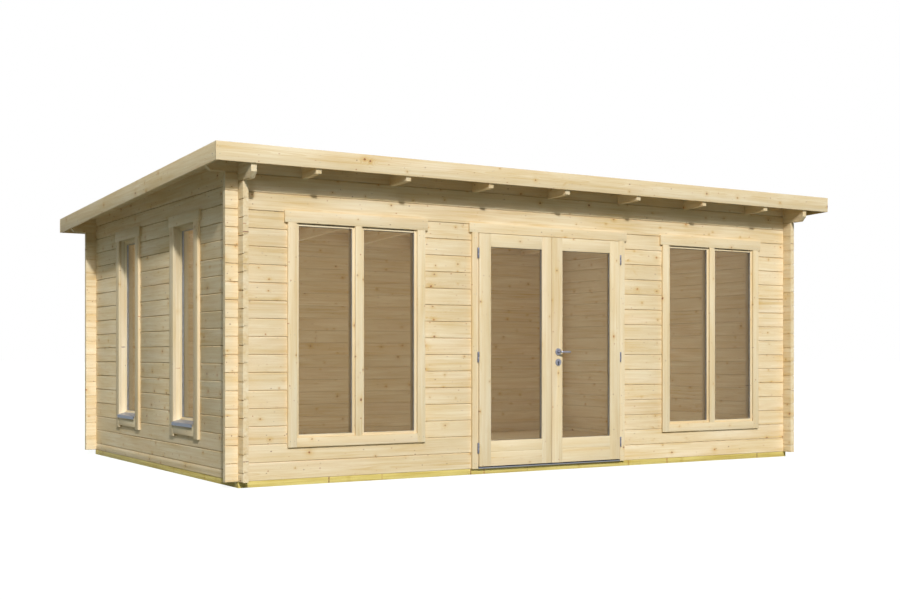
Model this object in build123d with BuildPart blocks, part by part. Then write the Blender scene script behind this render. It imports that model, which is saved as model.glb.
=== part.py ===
from build123d import *
import os

os.makedirs("parts", exist_ok=True)

# Garden office pod of interlocked logs. X runs along the front, Y to the back,
# Z up. The origin is on the ground under the middle of the plan.

# Plan and log courses
wall_width = 5700.0
wall_depth = 3800.0
log_thickness = 44.0
course = 135.0
front_courses = 18
back_courses = 17
door_courses = 15
log_end = 100.0
groove = 4.0

# Foundation and floor
base_height = 48.0
beam_width = 70.0
beam_inset = 5.0
joist_width = 44.0
joist_count = 9
floor_thickness = 28.0
floor_gap = 4.0

# Roof
eaves = 256.0
rafter_width = 44.0
rafter_depth = 145.0
rafter_end = 540.0
rafter_count = 7
roof_board_thickness = 19.0
felt_thickness = 3.0
fascia_thickness = 20.0
fascia_height = 136.0
fascia_rise = 28.0
nose_chamfer = 45.0

# Glazing: two panes and the spacer between them
pane_thickness = 4.0
spacer_thickness = 8.0
glass_grip = 8.0
spacer_show = 2.0

# Trim boards round the openings
trim_thickness = 23.0
header_horn = 26.0

# Trim boards on the inside, as thick as the frames stand proud of the logs
inner_trim_width = 60.0
inner_trim_thickness = 16.0

# Wide windows of the front wall
front_window_corner = 431.0
front_opening_half = 565.0
front_opening_courses = 2
front_trim_lap = 35.0
front_trim_width = 72.0
front_trim_drop = 30.0
front_trim_bottom_height = 72.0
front_header_drop = 79.0
front_header_height = 91.0
front_mullion_trim = 59.0
front_bead = 22.0
front_bead_proud = 6.0

# Narrow windows of the left wall
side_window_corner = 845.0
side_opening_half = 290.0
side_opening_low = 2.5
side_opening_high = 15.5
side_trim_lap = 46.0
side_trim_width = 92.0
side_trim_drop = 69.5
side_apron_drop = 49.5
side_apron_height = 98.0
side_header_drop = 82.5
side_header_height = 91.0
side_frame_width = 66.0
side_frame_foot = 87.5
side_frame_head = 116.5
side_bead_start = 35.0
side_glass_depth = 50.0
side_frame_depth = 105.0
sill_thickness = 2.0
sill_reach = 38.0
sill_back_rise = 66.5
sill_front_rise = 47.5
sill_lip = 27.0

# Double door
door_opening_half = 775.0
door_frame_width = 28.0
door_frame_head = 69.0
door_gap = 5.0
door_trim_lap = 29.0
door_header_height = 78.0
door_stop = 20.0
leaf_bottom = 18.0
leaf_thickness = 44.0
leaf_proud = 35.0
meeting_x = -6.0
meeting_gap = 6.5
hinge_stile = 113.0
meeting_stile = 98.0
handle_stile = 110.0
top_rail = 110.0
bottom_rail = 210.0
rail_joint = 117.0
leaf_glass_recess = 11.0
threshold_height = 13.0
threshold_lip = 30.0
threshold_stop = 30.0

# Lift-off hinges
hinge_foot = 153.0
hinge_middle = 907.0
hinge_head = 164.0
hinge_offset = 10.0
hinge_recess = 4.0
barrel_radius = 7.0
barrel_length = 86.0
barrel_joint = 1.0
pin_radius = 3.0
pin_length = 29.0
pin_play = 0.2
hinge_rod_radius = 4.0
hinge_rod_length = 56.0
hinge_plate = 4.0
hinge_plate_depth = 35.0
hinge_web = 6.0

# Handle and lock
handle_inset = 66.0
handle_rise = 952.0
lock_drop = 90.0
rose_radius = 30.0
rose_thickness = 8.0
spindle_radius = 4.0
spindle_play = 0.5
lever_radius = 8.5
lever_reach = 44.0
lever_length = 92.0
lever_bend = 14.0
lever_gap = 0.4
cylinder_radius = 8.5
cylinder_web = 10.0
cylinder_height = 33.0
cylinder_proud = 2.0

# Levels and faces that follow from the sizes above
left_face = -wall_width / 2
right_face = wall_width / 2
front_face = -wall_depth / 2
back_face = wall_depth / 2
front_top = base_height + front_courses * course
back_top = base_height + back_courses * course
door_head = base_height + door_courses * course
half_notch = course / 4
frame_depth = log_thickness + inner_trim_thickness
roof_slope = (front_top - back_top) / (wall_depth - log_thickness)
glass_thickness = 2 * pane_thickness + spacer_thickness
side_top_joint = base_height + (back_courses - 0.5) * course


def roof_under(y):
    """Height of the underside of the roof boards at a depth y."""
    return front_top - roof_slope * (y - front_face)


def outward_plane(x, y, z):
    """An upright plane through a point, seen from the front: X to the right, Z up."""
    return Plane(origin=(x, y, z), x_dir=(1, 0, 0), z_dir=(0, -1, 0))


def left_plane(x, y, z):
    """An upright plane through a point, seen from the left: Z up, normal to the left."""
    return Plane(origin=(x, y, z), x_dir=(0, -1, 0), z_dir=(-1, 0, 0))


def log_outline(outer, inner, low, high, joints):
    """Section of a stack of logs, with a V groove at every joint on both faces."""
    step = groove if inner > outer else -groove
    points = [(outer + step, low), (outer, low + groove)]
    inside = [z for z in joints if low < z < high]
    for z in inside:
        points += [(outer, z - groove), (outer + step, z), (outer, z + groove)]
    points += [(outer, high - groove), (outer + step, high)]
    points += [(inner - step, high), (inner, high - groove)]
    for z in reversed(inside):
        points += [(inner, z + groove), (inner - step, z), (inner, z - groove)]
    points += [(inner, low + groove), (inner - step, low)]
    return points


def block(x_range, y_range, z_range, mode=Mode.ADD):
    """A box between two values on each axis."""
    ranges = (x_range, y_range, z_range)
    centre = tuple((low + high) / 2 for low, high in ranges)
    size = tuple(high - low for low, high in ranges)
    with Locations(centre):
        Box(*size, mode=mode)


def log_wall_along_x(x_start, x_end, outer, inner, low, high):
    """Stack of logs that runs along X, with joints at whole courses."""
    joints = [base_height + n * course for n in range(front_courses + 1)]
    with BuildSketch(Plane.YZ.offset(x_start)) as section:
        with BuildLine():
            Polyline(*log_outline(outer, inner, low, high, joints), close=True)
        make_face()
    extrude(section.sketch, amount=x_end - x_start)


def log_wall_along_y(y_start, y_end, outer, inner, low, high):
    """Stack of logs that runs along Y, with joints half a course up."""
    joints = [base_height + (n + 0.5) * course for n in range(back_courses)]
    with BuildSketch(outward_plane(0, y_end, 0)) as section:
        with BuildLine():
            Polyline(*log_outline(outer, inner, low, high, joints), close=True)
        make_face()
    extrude(section.sketch, amount=y_end - y_start)


def notch_for_side_walls(y_range):
    """Cuts the notches at both corners that take the necks of the side walls' logs."""
    for x in (left_face, right_face - log_thickness):
        for n in range(front_courses):
            z = base_height + n * course
            x_range = (x, x + log_thickness)
            block(x_range, y_range, (z - half_notch, z + half_notch), Mode.SUBTRACT)


def notch_for_long_walls(x_range):
    """Cuts the notches of one side wall that take the necks of the front and back logs."""
    front_range = (front_face, front_face + log_thickness)
    back_range = (back_face - log_thickness, back_face)
    for n in range(back_courses):
        z = base_height + (n + 0.5) * course
        z_range = (z - half_notch, z + half_notch)
        block(x_range, front_range, z_range, Mode.SUBTRACT)
        block(x_range, back_range, z_range, Mode.SUBTRACT)
    top_notch = (back_top + half_notch, front_top + course)
    block(x_range, front_range, top_notch, Mode.SUBTRACT)


def trim_to_roof():
    """Cuts away everything above the underside of the roof boards."""
    y_low = front_face - 2 * eaves
    y_high = back_face + 2 * eaves
    with BuildSketch(Plane.YZ.offset(left_face - 2 * eaves)) as over_roof:
        with BuildLine():
            Polyline(
                (y_low, roof_under(y_low)),
                (y_high, roof_under(y_high)),
                (y_high, front_top + course),
                (y_low, front_top + course),
                close=True,
            )
        make_face()
    extrude(over_roof.sketch, amount=wall_width + 4 * eaves, mode=Mode.SUBTRACT)


def roof_layer(x_range, y_range, low, high):
    """A sloped layer between two heights over the underside of the roof boards."""
    y_start, y_end = y_range
    with BuildSketch(Plane.YZ.offset(x_range[0])) as section:
        with BuildLine():
            Polyline(
                (y_start, roof_under(y_start) + low),
                (y_end, roof_under(y_end) + low),
                (y_end, roof_under(y_end) + high),
                (y_start, roof_under(y_start) + high),
                close=True,
            )
        make_face()
    extrude(section.sketch, amount=x_range[1] - x_range[0])


def chamfer_noses_along_x(y_range, low):
    """Bevels the lower edge of a top log's two long ends."""
    for sign in (-1, 1):
        end = sign * (wall_width / 2 + eaves)
        with BuildSketch(outward_plane(0, y_range[1], 0)) as bevel:
            with BuildLine():
                Polyline(
                    (end, low),
                    (end, low + nose_chamfer),
                    (end - sign * nose_chamfer, low),
                    close=True,
                )
            make_face()
        extrude(bevel.sketch, amount=y_range[1] - y_range[0], mode=Mode.SUBTRACT)


def chamfer_noses_along_y(x_range, low, sizes):
    """Bevels the lower edge of a side wall's top log, at the front and at the back."""
    for sign, size in zip((-1, 1), sizes):
        end = sign * (wall_depth / 2 + eaves)
        with BuildSketch(Plane.YZ.offset(x_range[0])) as bevel:
            with BuildLine():
                Polyline((end, low), (end, low + size), (end - sign * size, low), close=True)
            make_face()
        extrude(bevel.sketch, amount=x_range[1] - x_range[0], mode=Mode.SUBTRACT)


def finish(builder, name):
    """Labels a finished piece and writes it."""
    builder.part.label = name
    export_step(builder.part, f"parts/{name}.step")


# Foundation beams lie flat under the four walls
beam_x = right_face - beam_inset
beam_y = back_face - beam_inset
with BuildPart() as foundation_long_beams:
    for sign in (-1, 1):
        y_range = sorted((sign * beam_y, sign * (beam_y - beam_width)))
        block((-beam_x, beam_x), y_range, (0, base_height))
finish(foundation_long_beams, "foundation_long_beams")

with BuildPart() as foundation_short_beams:
    for sign in (-1, 1):
        x_range = sorted((sign * beam_x, sign * (beam_x - beam_width)))
        block(x_range, (beam_width - beam_y, beam_y - beam_width), (0, base_height))
finish(foundation_short_beams, "foundation_short_beams")

joist_pitch = 2 * (beam_x - beam_width) / (joist_count + 1)
with BuildPart() as floor_joists:
    with Locations((0, 0, base_height / 2)):
        with GridLocations(joist_pitch, 1, joist_count, 1):
            Box(joist_width, 2 * (beam_y - beam_width), base_height)
finish(floor_joists, "floor_joists")

# The floor is cut back at the doorway for the frame and the threshold
floor_half_x = right_face - log_thickness - floor_gap
floor_half_y = back_face - log_thickness - floor_gap
with BuildPart() as floor_boards:
    with BuildSketch(Plane.XY.offset(base_height)):
        Rectangle(2 * floor_half_x, 2 * floor_half_y)
        with Locations((0, -floor_half_y)):
            notch_depth = front_face + frame_depth + floor_gap + floor_half_y
            Rectangle(2 * (door_opening_half + floor_gap), 2 * notch_depth, mode=Mode.SUBTRACT)
    extrude(amount=floor_thickness)
finish(floor_boards, "floor_boards")

# Rafters run from the front fascia to the back one, notched into both long walls
rafter_pitch = (wall_width - 2 * rafter_end) / (rafter_count - 1)
with BuildPart() as rafters:
    for n in range(rafter_count):
        x = (n - (rafter_count - 1) / 2) * rafter_pitch
        x_range = (x - rafter_width / 2, x + rafter_width / 2)
        roof_layer(x_range, (front_face - eaves, back_face + eaves), -rafter_depth, 0)
finish(rafters, "rafters")

# Front wall: the stretches beside the doorway stop at its head, three courses run over it
front_y = (front_face, front_face + log_thickness)
front_sill = base_height + front_opening_courses * course
front_window_x = right_face - front_window_corner - front_opening_half
for name, sign in (("front_wall_left", -1), ("front_wall_right", 1)):
    with BuildPart() as front_wall_side:
        ends = sorted((sign * (right_face + log_end), sign * door_opening_half))
        log_wall_along_x(ends[0], ends[1], *front_y, base_height, door_head)
        notch_for_side_walls(front_y)
        middle = sign * front_window_x
        window_range = (middle - front_opening_half, middle + front_opening_half)
        block(window_range, front_y, (front_sill, front_top), Mode.SUBTRACT)
    finish(front_wall_side, name)

with BuildPart() as front_wall_top:
    top_log = front_top - course
    reach = right_face + log_end
    log_wall_along_x(-reach, reach, *front_y, door_head, top_log)
    log_wall_along_x(-right_face - eaves, right_face + eaves, *front_y, top_log, front_top)
    notch_for_side_walls(front_y)
    chamfer_noses_along_x(front_y, top_log)
    trim_to_roof()
    add(rafters.part, mode=Mode.SUBTRACT)
finish(front_wall_top, "front_wall_top")

back_y = (back_face - log_thickness, back_face)
with BuildPart() as back_wall:
    top_log = back_top - course
    reach = right_face + log_end
    log_wall_along_x(-reach, reach, back_y[1], back_y[0], base_height, top_log)
    log_wall_along_x(-right_face - eaves, right_face + eaves, back_y[1], back_y[0], top_log, back_top)
    notch_for_side_walls(back_y)
    chamfer_noses_along_x(back_y, top_log)
    trim_to_roof()
    add(rafters.part, mode=Mode.SUBTRACT)
finish(back_wall, "back_wall")

# Side walls: the top log is cut to the slope of the roof and carries the eaves
side_low = base_height + side_opening_low * course
side_high = base_height + side_opening_high * course
side_window_y = back_face - side_window_corner - side_opening_half
for name, sign in (("left_wall", -1), ("right_wall", 1)):
    with BuildPart() as side_wall:
        outer = sign * right_face
        inner = outer - sign * log_thickness
        x_range = tuple(sorted((outer, inner)))
        reach = back_face + log_end
        log_wall_along_y(-reach, reach, outer, inner, base_height, side_top_joint)
        roof_reach = back_face + eaves
        log_wall_along_y(-roof_reach, roof_reach, outer, inner, side_top_joint, front_top + course)
        notch_for_long_walls(x_range)
        back_nose = (roof_under(roof_reach) - side_top_joint) / 2
        chamfer_noses_along_y(x_range, side_top_joint, (nose_chamfer, back_nose))
        trim_to_roof()
        if sign < 0:
            for middle in (-side_window_y, side_window_y):
                y_range = (middle - side_opening_half, middle + side_opening_half)
                block(x_range, y_range, (side_low, side_high), Mode.SUBTRACT)
    finish(side_wall, name)

# Roof boards and felt lie between the fascias
roof_x = (left_face - eaves, right_face + eaves)
roof_y = (front_face - eaves, back_face + eaves)
with BuildPart() as roof_boards:
    roof_layer(roof_x, roof_y, 0, roof_board_thickness)
finish(roof_boards, "roof_boards")

with BuildPart() as roof_felt:
    roof_layer(roof_x, roof_y, roof_board_thickness, roof_board_thickness + felt_thickness)
finish(roof_felt, "roof_felt")

# Fascias: the long ones run past the ends of the side ones
fascia_x = right_face + eaves + fascia_thickness
for name, sign in (("fascia_front", -1), ("fascia_back", 1)):
    with BuildPart() as fascia:
        inner = sign * (back_face + eaves)
        outer = inner + sign * fascia_thickness
        top = roof_under(outer) + fascia_rise
        y_range = sorted((inner, outer))
        block((-fascia_x, fascia_x), y_range, (top - fascia_height, top))
    finish(fascia, name)

with BuildPart() as fascia_sides:
    low = fascia_rise - fascia_height
    roof_layer((-fascia_x, roof_x[0]), roof_y, low, fascia_rise)
    roof_layer((roof_x[1], fascia_x), roof_y, low, fascia_rise)
finish(fascia_sides, "fascia_sides")


def panes(plane, width, height):
    """Two panes of a glazing unit, from the plane inwards."""
    for start in (0, pane_thickness + spacer_thickness):
        with BuildSketch(plane.offset(-start)) as pane:
            Rectangle(width, height)
        extrude(pane.sketch, amount=-pane_thickness)


def spacer(plane, width, height):
    """The bar round the edge of a glazing unit that keeps its panes apart."""
    inset = 2 * (glass_grip + spacer_show)
    with BuildSketch(plane.offset(-pane_thickness)) as bar:
        Rectangle(width, height)
        Rectangle(width - inset, height - inset, mode=Mode.SUBTRACT)
    extrude(bar.sketch, amount=-spacer_thickness)


def inner_trim(foot, half_width, height):
    """Trim boards round the sides and head of an opening, on the inner face of the logs."""
    inner_height = height + inner_trim_width
    with BuildSketch(foot) as boards:
        with Locations((0, inner_height / 2)):
            Rectangle(2 * (half_width + inner_trim_width), inner_height)
        with Locations((0, height / 2)):
            Rectangle(2 * half_width, height, mode=Mode.SUBTRACT)
    extrude(boards.sketch, amount=-inner_trim_thickness)


def inner_sill_trim(foot, half_width):
    """The trim board under an opening, on the inner face of the logs."""
    with BuildSketch(foot) as board:
        with Locations((0, -inner_trim_width / 2)):
            Rectangle(2 * (half_width + inner_trim_width), inner_trim_width)
    extrude(board.sketch, amount=-inner_trim_thickness)


# Wide front windows, one on each side of the door
front_inside = front_face + log_thickness
front_trim_outer = front_opening_half + front_trim_lap
front_trim_low = front_sill - front_trim_drop
front_header_low = door_head - front_header_drop
light_half = front_trim_outer - front_trim_width - front_bead
mullion_half = front_mullion_trim / 2 + front_bead
light_width = light_half - mullion_half
light_middle = (light_half + mullion_half) / 2
glass_low = front_trim_low + front_trim_bottom_height + front_bead
glass_high = front_header_low - front_bead
glass_height = glass_high - glass_low
glass_middle = (glass_low + glass_high) / 2
for side, sign in (("left", -1), ("right", 1)):
    middle = sign * front_window_x
    opening_height = door_head - front_sill
    with BuildPart() as front_frame:
        with BuildSketch(outward_plane(middle, front_face, (front_sill + door_head) / 2)):
            Rectangle(2 * front_opening_half, opening_height)
        extrude(amount=-frame_depth)
        with BuildSketch(outward_plane(middle, front_face, glass_middle)):
            Rectangle(2 * (light_half + front_bead), glass_height + 2 * front_bead)
            Rectangle(front_mullion_trim, glass_height + 2 * front_bead, mode=Mode.SUBTRACT)
        extrude(amount=front_bead_proud)
        with BuildSketch(outward_plane(middle, front_face - front_bead_proud, glass_middle)):
            with Locations((-light_middle, 0), (light_middle, 0)):
                Rectangle(light_width, glass_height)
        extrude(amount=-2 * frame_depth, mode=Mode.SUBTRACT)
        with BuildSketch(outward_plane(middle, front_face, glass_middle)):
            with Locations((-light_middle, 0), (light_middle, 0)):
                Rectangle(light_width + 2 * glass_grip, glass_height + 2 * glass_grip)
        extrude(amount=-glass_thickness, mode=Mode.SUBTRACT)
    finish(front_frame, f"{side}_front_window_frame")
    with BuildPart() as front_trim:
        trim_height = front_header_low - front_trim_low
        with BuildSketch(outward_plane(middle, front_face, front_trim_low)):
            with Locations((0, trim_height / 2)):
                Rectangle(2 * front_trim_outer, trim_height)
            with Locations((0, (trim_height + front_trim_bottom_height) / 2)):
                aperture = trim_height - front_trim_bottom_height
                Rectangle(2 * (front_trim_outer - front_trim_width), aperture, mode=Mode.SUBTRACT)
                Rectangle(front_mullion_trim, aperture)
            with Locations((0, trim_height + front_header_height / 2)):
                Rectangle(2 * (front_trim_outer + header_horn), front_header_height)
        extrude(amount=trim_thickness)
        inner_foot = outward_plane(middle, front_inside, front_sill)
        inner_trim(inner_foot, front_opening_half, opening_height)
        inner_sill_trim(inner_foot, front_opening_half)
    finish(front_trim, f"{side}_front_window_trim")
    with BuildPart() as front_glass:
        for shift in (-light_middle, light_middle):
            plane = outward_plane(middle + shift, front_face, glass_middle)
            panes(plane, light_width + 2 * glass_grip, glass_height + 2 * glass_grip)
    finish(front_glass, f"{side}_front_window_glass")


def sill_top(x):
    """Height of the upper face of the drip sill at a place x."""
    share = (x - left_face + sill_reach) / (side_bead_start + sill_reach)
    return side_low + sill_front_rise + share * (sill_back_rise - sill_front_rise)


# Narrow windows of the left wall, with a drip sill of bent sheet
sill_back_x = left_face + side_bead_start
sill_nose_x = left_face - sill_reach
sill_fold_x = sill_nose_x + sill_thickness
side_trim_outer = side_opening_half + side_trim_lap
side_trim_low = side_low - side_trim_drop
side_header_low = side_high - side_header_drop
side_light_half = side_trim_outer - side_trim_width
side_glass_half = side_opening_half - side_frame_width
side_glass_low = side_low + side_frame_foot
side_glass_high = side_high - side_frame_head
side_glass_height = side_glass_high - side_glass_low
side_glass_z = (side_glass_low + side_glass_high) / 2
for side, sign in (("near", -1), ("far", 1)):
    middle = sign * side_window_y
    with BuildPart() as side_frame:
        with BuildSketch(left_plane(left_face, middle, (side_low + side_high) / 2)):
            Rectangle(2 * side_opening_half, side_high - side_low)
        extrude(amount=-side_frame_depth)
        with BuildSketch(left_plane(left_face, middle, side_glass_z)):
            Rectangle(2 * side_glass_half, side_glass_height)
        extrude(amount=-side_frame_depth, mode=Mode.SUBTRACT)
        bevel = side_glass_depth - side_bead_start
        with BuildSketch(left_plane(left_face + side_glass_depth, middle, side_glass_z)):
            Rectangle(2 * side_glass_half, side_glass_height)
        with BuildSketch(left_plane(left_face + side_bead_start, middle, side_glass_z)):
            Rectangle(2 * (side_glass_half + bevel), side_glass_height + 2 * bevel)
        loft(mode=Mode.SUBTRACT)
        with BuildSketch(outward_plane(0, middle + side_light_half, 0)):
            with BuildLine():
                Polyline(
                    (left_face, sill_top(left_face) - sill_thickness),
                    (sill_back_x, sill_top(sill_back_x) - sill_thickness),
                    (sill_back_x, side_header_low),
                    (left_face, side_header_low),
                    close=True,
                )
            make_face()
        extrude(amount=2 * side_light_half, mode=Mode.SUBTRACT)
        with BuildSketch(left_plane(left_face + side_glass_depth, middle, side_glass_z)):
            Rectangle(2 * (side_glass_half + glass_grip), side_glass_height + 2 * glass_grip)
        extrude(amount=-glass_thickness, mode=Mode.SUBTRACT)
    finish(side_frame, f"{side}_side_window_frame")
    with BuildPart() as side_trim:
        trim_height = side_header_low - side_trim_low
        board_x = side_trim_outer - side_trim_width / 2
        apron_rise = side_trim_drop - side_apron_drop
        with BuildSketch(left_plane(left_face, middle, side_trim_low)):
            with Locations((-board_x, trim_height / 2), (board_x, trim_height / 2)):
                Rectangle(side_trim_width, trim_height)
            with Locations((0, apron_rise + side_apron_height / 2)):
                Rectangle(2 * side_light_half, side_apron_height)
            with Locations((0, trim_height + side_header_height / 2)):
                Rectangle(2 * (side_trim_outer + header_horn), side_header_height)
        extrude(amount=trim_thickness)
        inner_foot = left_plane(left_face + log_thickness, middle, side_low)
        inner_trim(inner_foot, side_opening_half, side_high - side_low)
        inner_sill_trim(inner_foot, side_opening_half)
    finish(side_trim, f"{side}_side_window_trim")
    with BuildPart() as sill:
        nose = sill_top(sill_nose_x)
        with BuildSketch(outward_plane(0, middle + side_light_half, 0)):
            with BuildLine():
                Polyline(
                    (sill_back_x, sill_top(sill_back_x)),
                    (sill_nose_x, nose),
                    (sill_nose_x, nose - sill_lip),
                    (sill_fold_x, nose - sill_lip),
                    (sill_fold_x, sill_top(sill_fold_x) - sill_thickness),
                    (sill_back_x, sill_top(sill_back_x) - sill_thickness),
                    close=True,
                )
            make_face()
        extrude(amount=2 * side_light_half)
    finish(sill, f"{side}_side_window_sill")
    with BuildPart() as side_glass:
        plane = left_plane(left_face + side_glass_depth, middle, side_glass_z)
        panes(plane, 2 * (side_glass_half + glass_grip), side_glass_height + 2 * glass_grip)
    finish(side_glass, f"{side}_side_window_glass")

with BuildPart() as window_spacers:
    for sign in (-1, 1):
        for shift in (-light_middle, light_middle):
            plane = outward_plane(sign * front_window_x + shift, front_face, glass_middle)
            spacer(plane, light_width + 2 * glass_grip, glass_height + 2 * glass_grip)
    for middle in (-side_window_y, side_window_y):
        plane = left_plane(left_face + side_glass_depth, middle, side_glass_z)
        spacer(plane, 2 * (side_glass_half + glass_grip), side_glass_height + 2 * glass_grip)
finish(window_spacers, "window_spacers")

# Door frame: jambs and head with a stop behind the leaves, trim boards on its face
jamb_inner = door_opening_half - door_frame_width
door_trim_outer = door_opening_half + door_trim_lap
frame_high = door_head - door_frame_head
leaf_half = jamb_inner - door_gap
leaf_low = base_height + leaf_bottom
leaf_high = frame_high - door_gap
leaf_face = front_face - leaf_proud
leaf_inside = leaf_face + leaf_thickness
stop_face = leaf_inside + door_gap
frame_back = front_face + frame_depth
hinge_x = leaf_half + hinge_offset
hinge_y = leaf_face + hinge_recess
hinge_heights = (leaf_low + hinge_foot, leaf_low + hinge_middle, leaf_high - hinge_head)
half_barrel = (barrel_length - barrel_joint) / 2
hinge_rod_drop = (half_barrel + barrel_joint) / 2


def hinge_rod_holes():
    """Bores that take the rods of the fixed hinge halves."""
    for z in hinge_heights:
        with BuildSketch(outward_plane(0, hinge_y, z - hinge_rod_drop)) as bores:
            with Locations((-hinge_x, 0), (hinge_x, 0)):
                Circle(hinge_rod_radius)
        extrude(bores.sketch, amount=-hinge_rod_length, mode=Mode.SUBTRACT)


with BuildPart() as door_frame:
    with BuildSketch(outward_plane(0, front_face, base_height)):
        with Locations((0, (door_head - base_height) / 2)):
            Rectangle(2 * door_opening_half, door_head - base_height)
        with Locations((0, (frame_high - base_height) / 2)):
            Rectangle(2 * jamb_inner, frame_high - base_height, mode=Mode.SUBTRACT)
    extrude(amount=-frame_depth)
    with BuildSketch(outward_plane(0, stop_face, base_height)):
        with Locations((0, (frame_high - base_height) / 2)):
            Rectangle(2 * jamb_inner, frame_high - base_height)
        stop_high = frame_high - door_stop
        with Locations((0, (stop_high - base_height) / 2)):
            Rectangle(2 * (jamb_inner - door_stop), stop_high - base_height, mode=Mode.SUBTRACT)
    extrude(amount=stop_face - frame_back)
    hinge_rod_holes()
finish(door_frame, "door_frame")

with BuildPart() as door_trim:
    with BuildSketch(outward_plane(0, front_face, base_height)):
        with Locations((0, (frame_high - base_height) / 2)):
            Rectangle(2 * door_trim_outer, frame_high - base_height)
            Rectangle(2 * jamb_inner, frame_high - base_height, mode=Mode.SUBTRACT)
        with Locations((0, frame_high - base_height + door_header_height / 2)):
            Rectangle(2 * (door_trim_outer + header_horn), door_header_height)
    extrude(amount=trim_thickness)
    hinge_rod_holes()
    floor_top = base_height + floor_thickness
    inner_trim(outward_plane(0, front_inside, floor_top), door_opening_half, door_head - floor_top)
finish(door_trim, "door_trim")

# The threshold is a metal rail with an upstand behind the leaves
with BuildPart() as door_threshold:
    with BuildSketch(Plane.YZ.offset(-jamb_inner)):
        with BuildLine():
            Polyline(
                (front_face - threshold_lip, base_height),
                (frame_back, base_height),
                (frame_back, base_height + threshold_stop),
                (stop_face, base_height + threshold_stop),
                (stop_face, base_height + threshold_height),
                (front_face - threshold_lip, base_height + threshold_height),
                close=True,
            )
        make_face()
    extrude(amount=2 * jamb_inner)
    for sign in (-1, 1):
        stop_x = sorted((sign * jamb_inner, sign * (jamb_inner - door_stop)))
        stop_z = (base_height, base_height + threshold_stop)
        block(stop_x, (stop_face, frame_back), stop_z, Mode.SUBTRACT)
finish(door_threshold, "door_threshold")


def keyhole_profile():
    """Outline of the lock cylinder: a round plug over a narrower web."""
    Circle(cylinder_radius)
    web_height = cylinder_height - cylinder_radius - cylinder_web / 2
    with Locations((0, -web_height / 2)):
        Rectangle(cylinder_web, web_height)
    with Locations((0, -web_height)):
        Circle(cylinder_web / 2)


# Door leaves: a light in a frame of stiles and rails, each on its own side of the gap
handle_x = meeting_x + handle_inset
handle_height = leaf_low + handle_rise
lock_height = handle_height - lock_drop
light_low = leaf_low + bottom_rail
light_high = leaf_high - top_rail
door_light_height = light_high - light_low
door_glass_face = leaf_face + leaf_glass_recess
leaves = (
    ("left", -leaf_half, meeting_x - meeting_gap / 2, hinge_stile, meeting_stile),
    ("right", meeting_x + meeting_gap / 2, leaf_half, handle_stile, hinge_stile),
)
for side, leaf_start, leaf_end, start_stile, end_stile in leaves:
    light_start = leaf_start + start_stile
    light_end = leaf_end - end_stile
    light_plane = ((light_start + light_end) / 2, door_glass_face, (light_low + light_high) / 2)
    unit_width = light_end - light_start + 2 * glass_grip
    unit_height = door_light_height + 2 * glass_grip
    with BuildPart() as leaf:
        leaf_middle = ((leaf_start + leaf_end) / 2, leaf_face, (leaf_low + leaf_high) / 2)
        with BuildSketch(outward_plane(*leaf_middle)):
            Rectangle(leaf_end - leaf_start, leaf_high - leaf_low)
        extrude(amount=-leaf_thickness)
        with BuildSketch(outward_plane(light_plane[0], leaf_face, light_plane[2])):
            Rectangle(light_end - light_start, door_light_height)
        extrude(amount=-leaf_thickness, mode=Mode.SUBTRACT)
        with BuildSketch(outward_plane(*light_plane)):
            Rectangle(unit_width, unit_height)
        extrude(amount=-glass_thickness, mode=Mode.SUBTRACT)
        joint_z = leaf_low + rail_joint
        for face, step in ((leaf_face, groove), (leaf_inside, -groove)):
            with BuildSketch(Plane.YZ.offset(light_start)):
                with BuildLine():
                    Polyline(
                        (face, joint_z - groove / 2),
                        (face + step / 2, joint_z),
                        (face, joint_z + groove / 2),
                        close=True,
                    )
                make_face()
            extrude(amount=light_end - light_start, mode=Mode.SUBTRACT)
        if side == "right":
            with BuildSketch(outward_plane(handle_x, leaf_face, handle_height)):
                Circle(spindle_radius + spindle_play)
            extrude(amount=-leaf_thickness, mode=Mode.SUBTRACT)
            with BuildSketch(outward_plane(handle_x, leaf_face, lock_height)):
                keyhole_profile()
            extrude(amount=-leaf_thickness, mode=Mode.SUBTRACT)
    finish(leaf, f"{side}_door_leaf")
    with BuildPart() as leaf_glass:
        panes(outward_plane(*light_plane), unit_width, unit_height)
    finish(leaf_glass, f"{side}_door_glass")
    with BuildPart() as leaf_spacer:
        spacer(outward_plane(*light_plane), unit_width, unit_height)
    finish(leaf_spacer, f"{side}_door_spacer")

# Hinges: the lower half and its pin stay on the frame, the upper half lifts off with the leaf
with BuildPart() as frame_hinges:
    for sign in (-1, 1):
        for z in hinge_heights:
            with BuildSketch(Plane.XY.offset(z - barrel_length / 2)):
                with Locations((sign * hinge_x, hinge_y)):
                    Circle(barrel_radius)
            extrude(amount=half_barrel)
            with BuildSketch(Plane.XY.offset(z - barrel_length / 2)):
                with Locations((sign * hinge_x, hinge_y)):
                    Circle(pin_radius)
            extrude(amount=half_barrel + pin_length)
            with BuildSketch(outward_plane(sign * hinge_x, hinge_y, z - hinge_rod_drop)):
                Circle(hinge_rod_radius)
            extrude(amount=-hinge_rod_length)
finish(frame_hinges, "frame_hinges")

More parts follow.
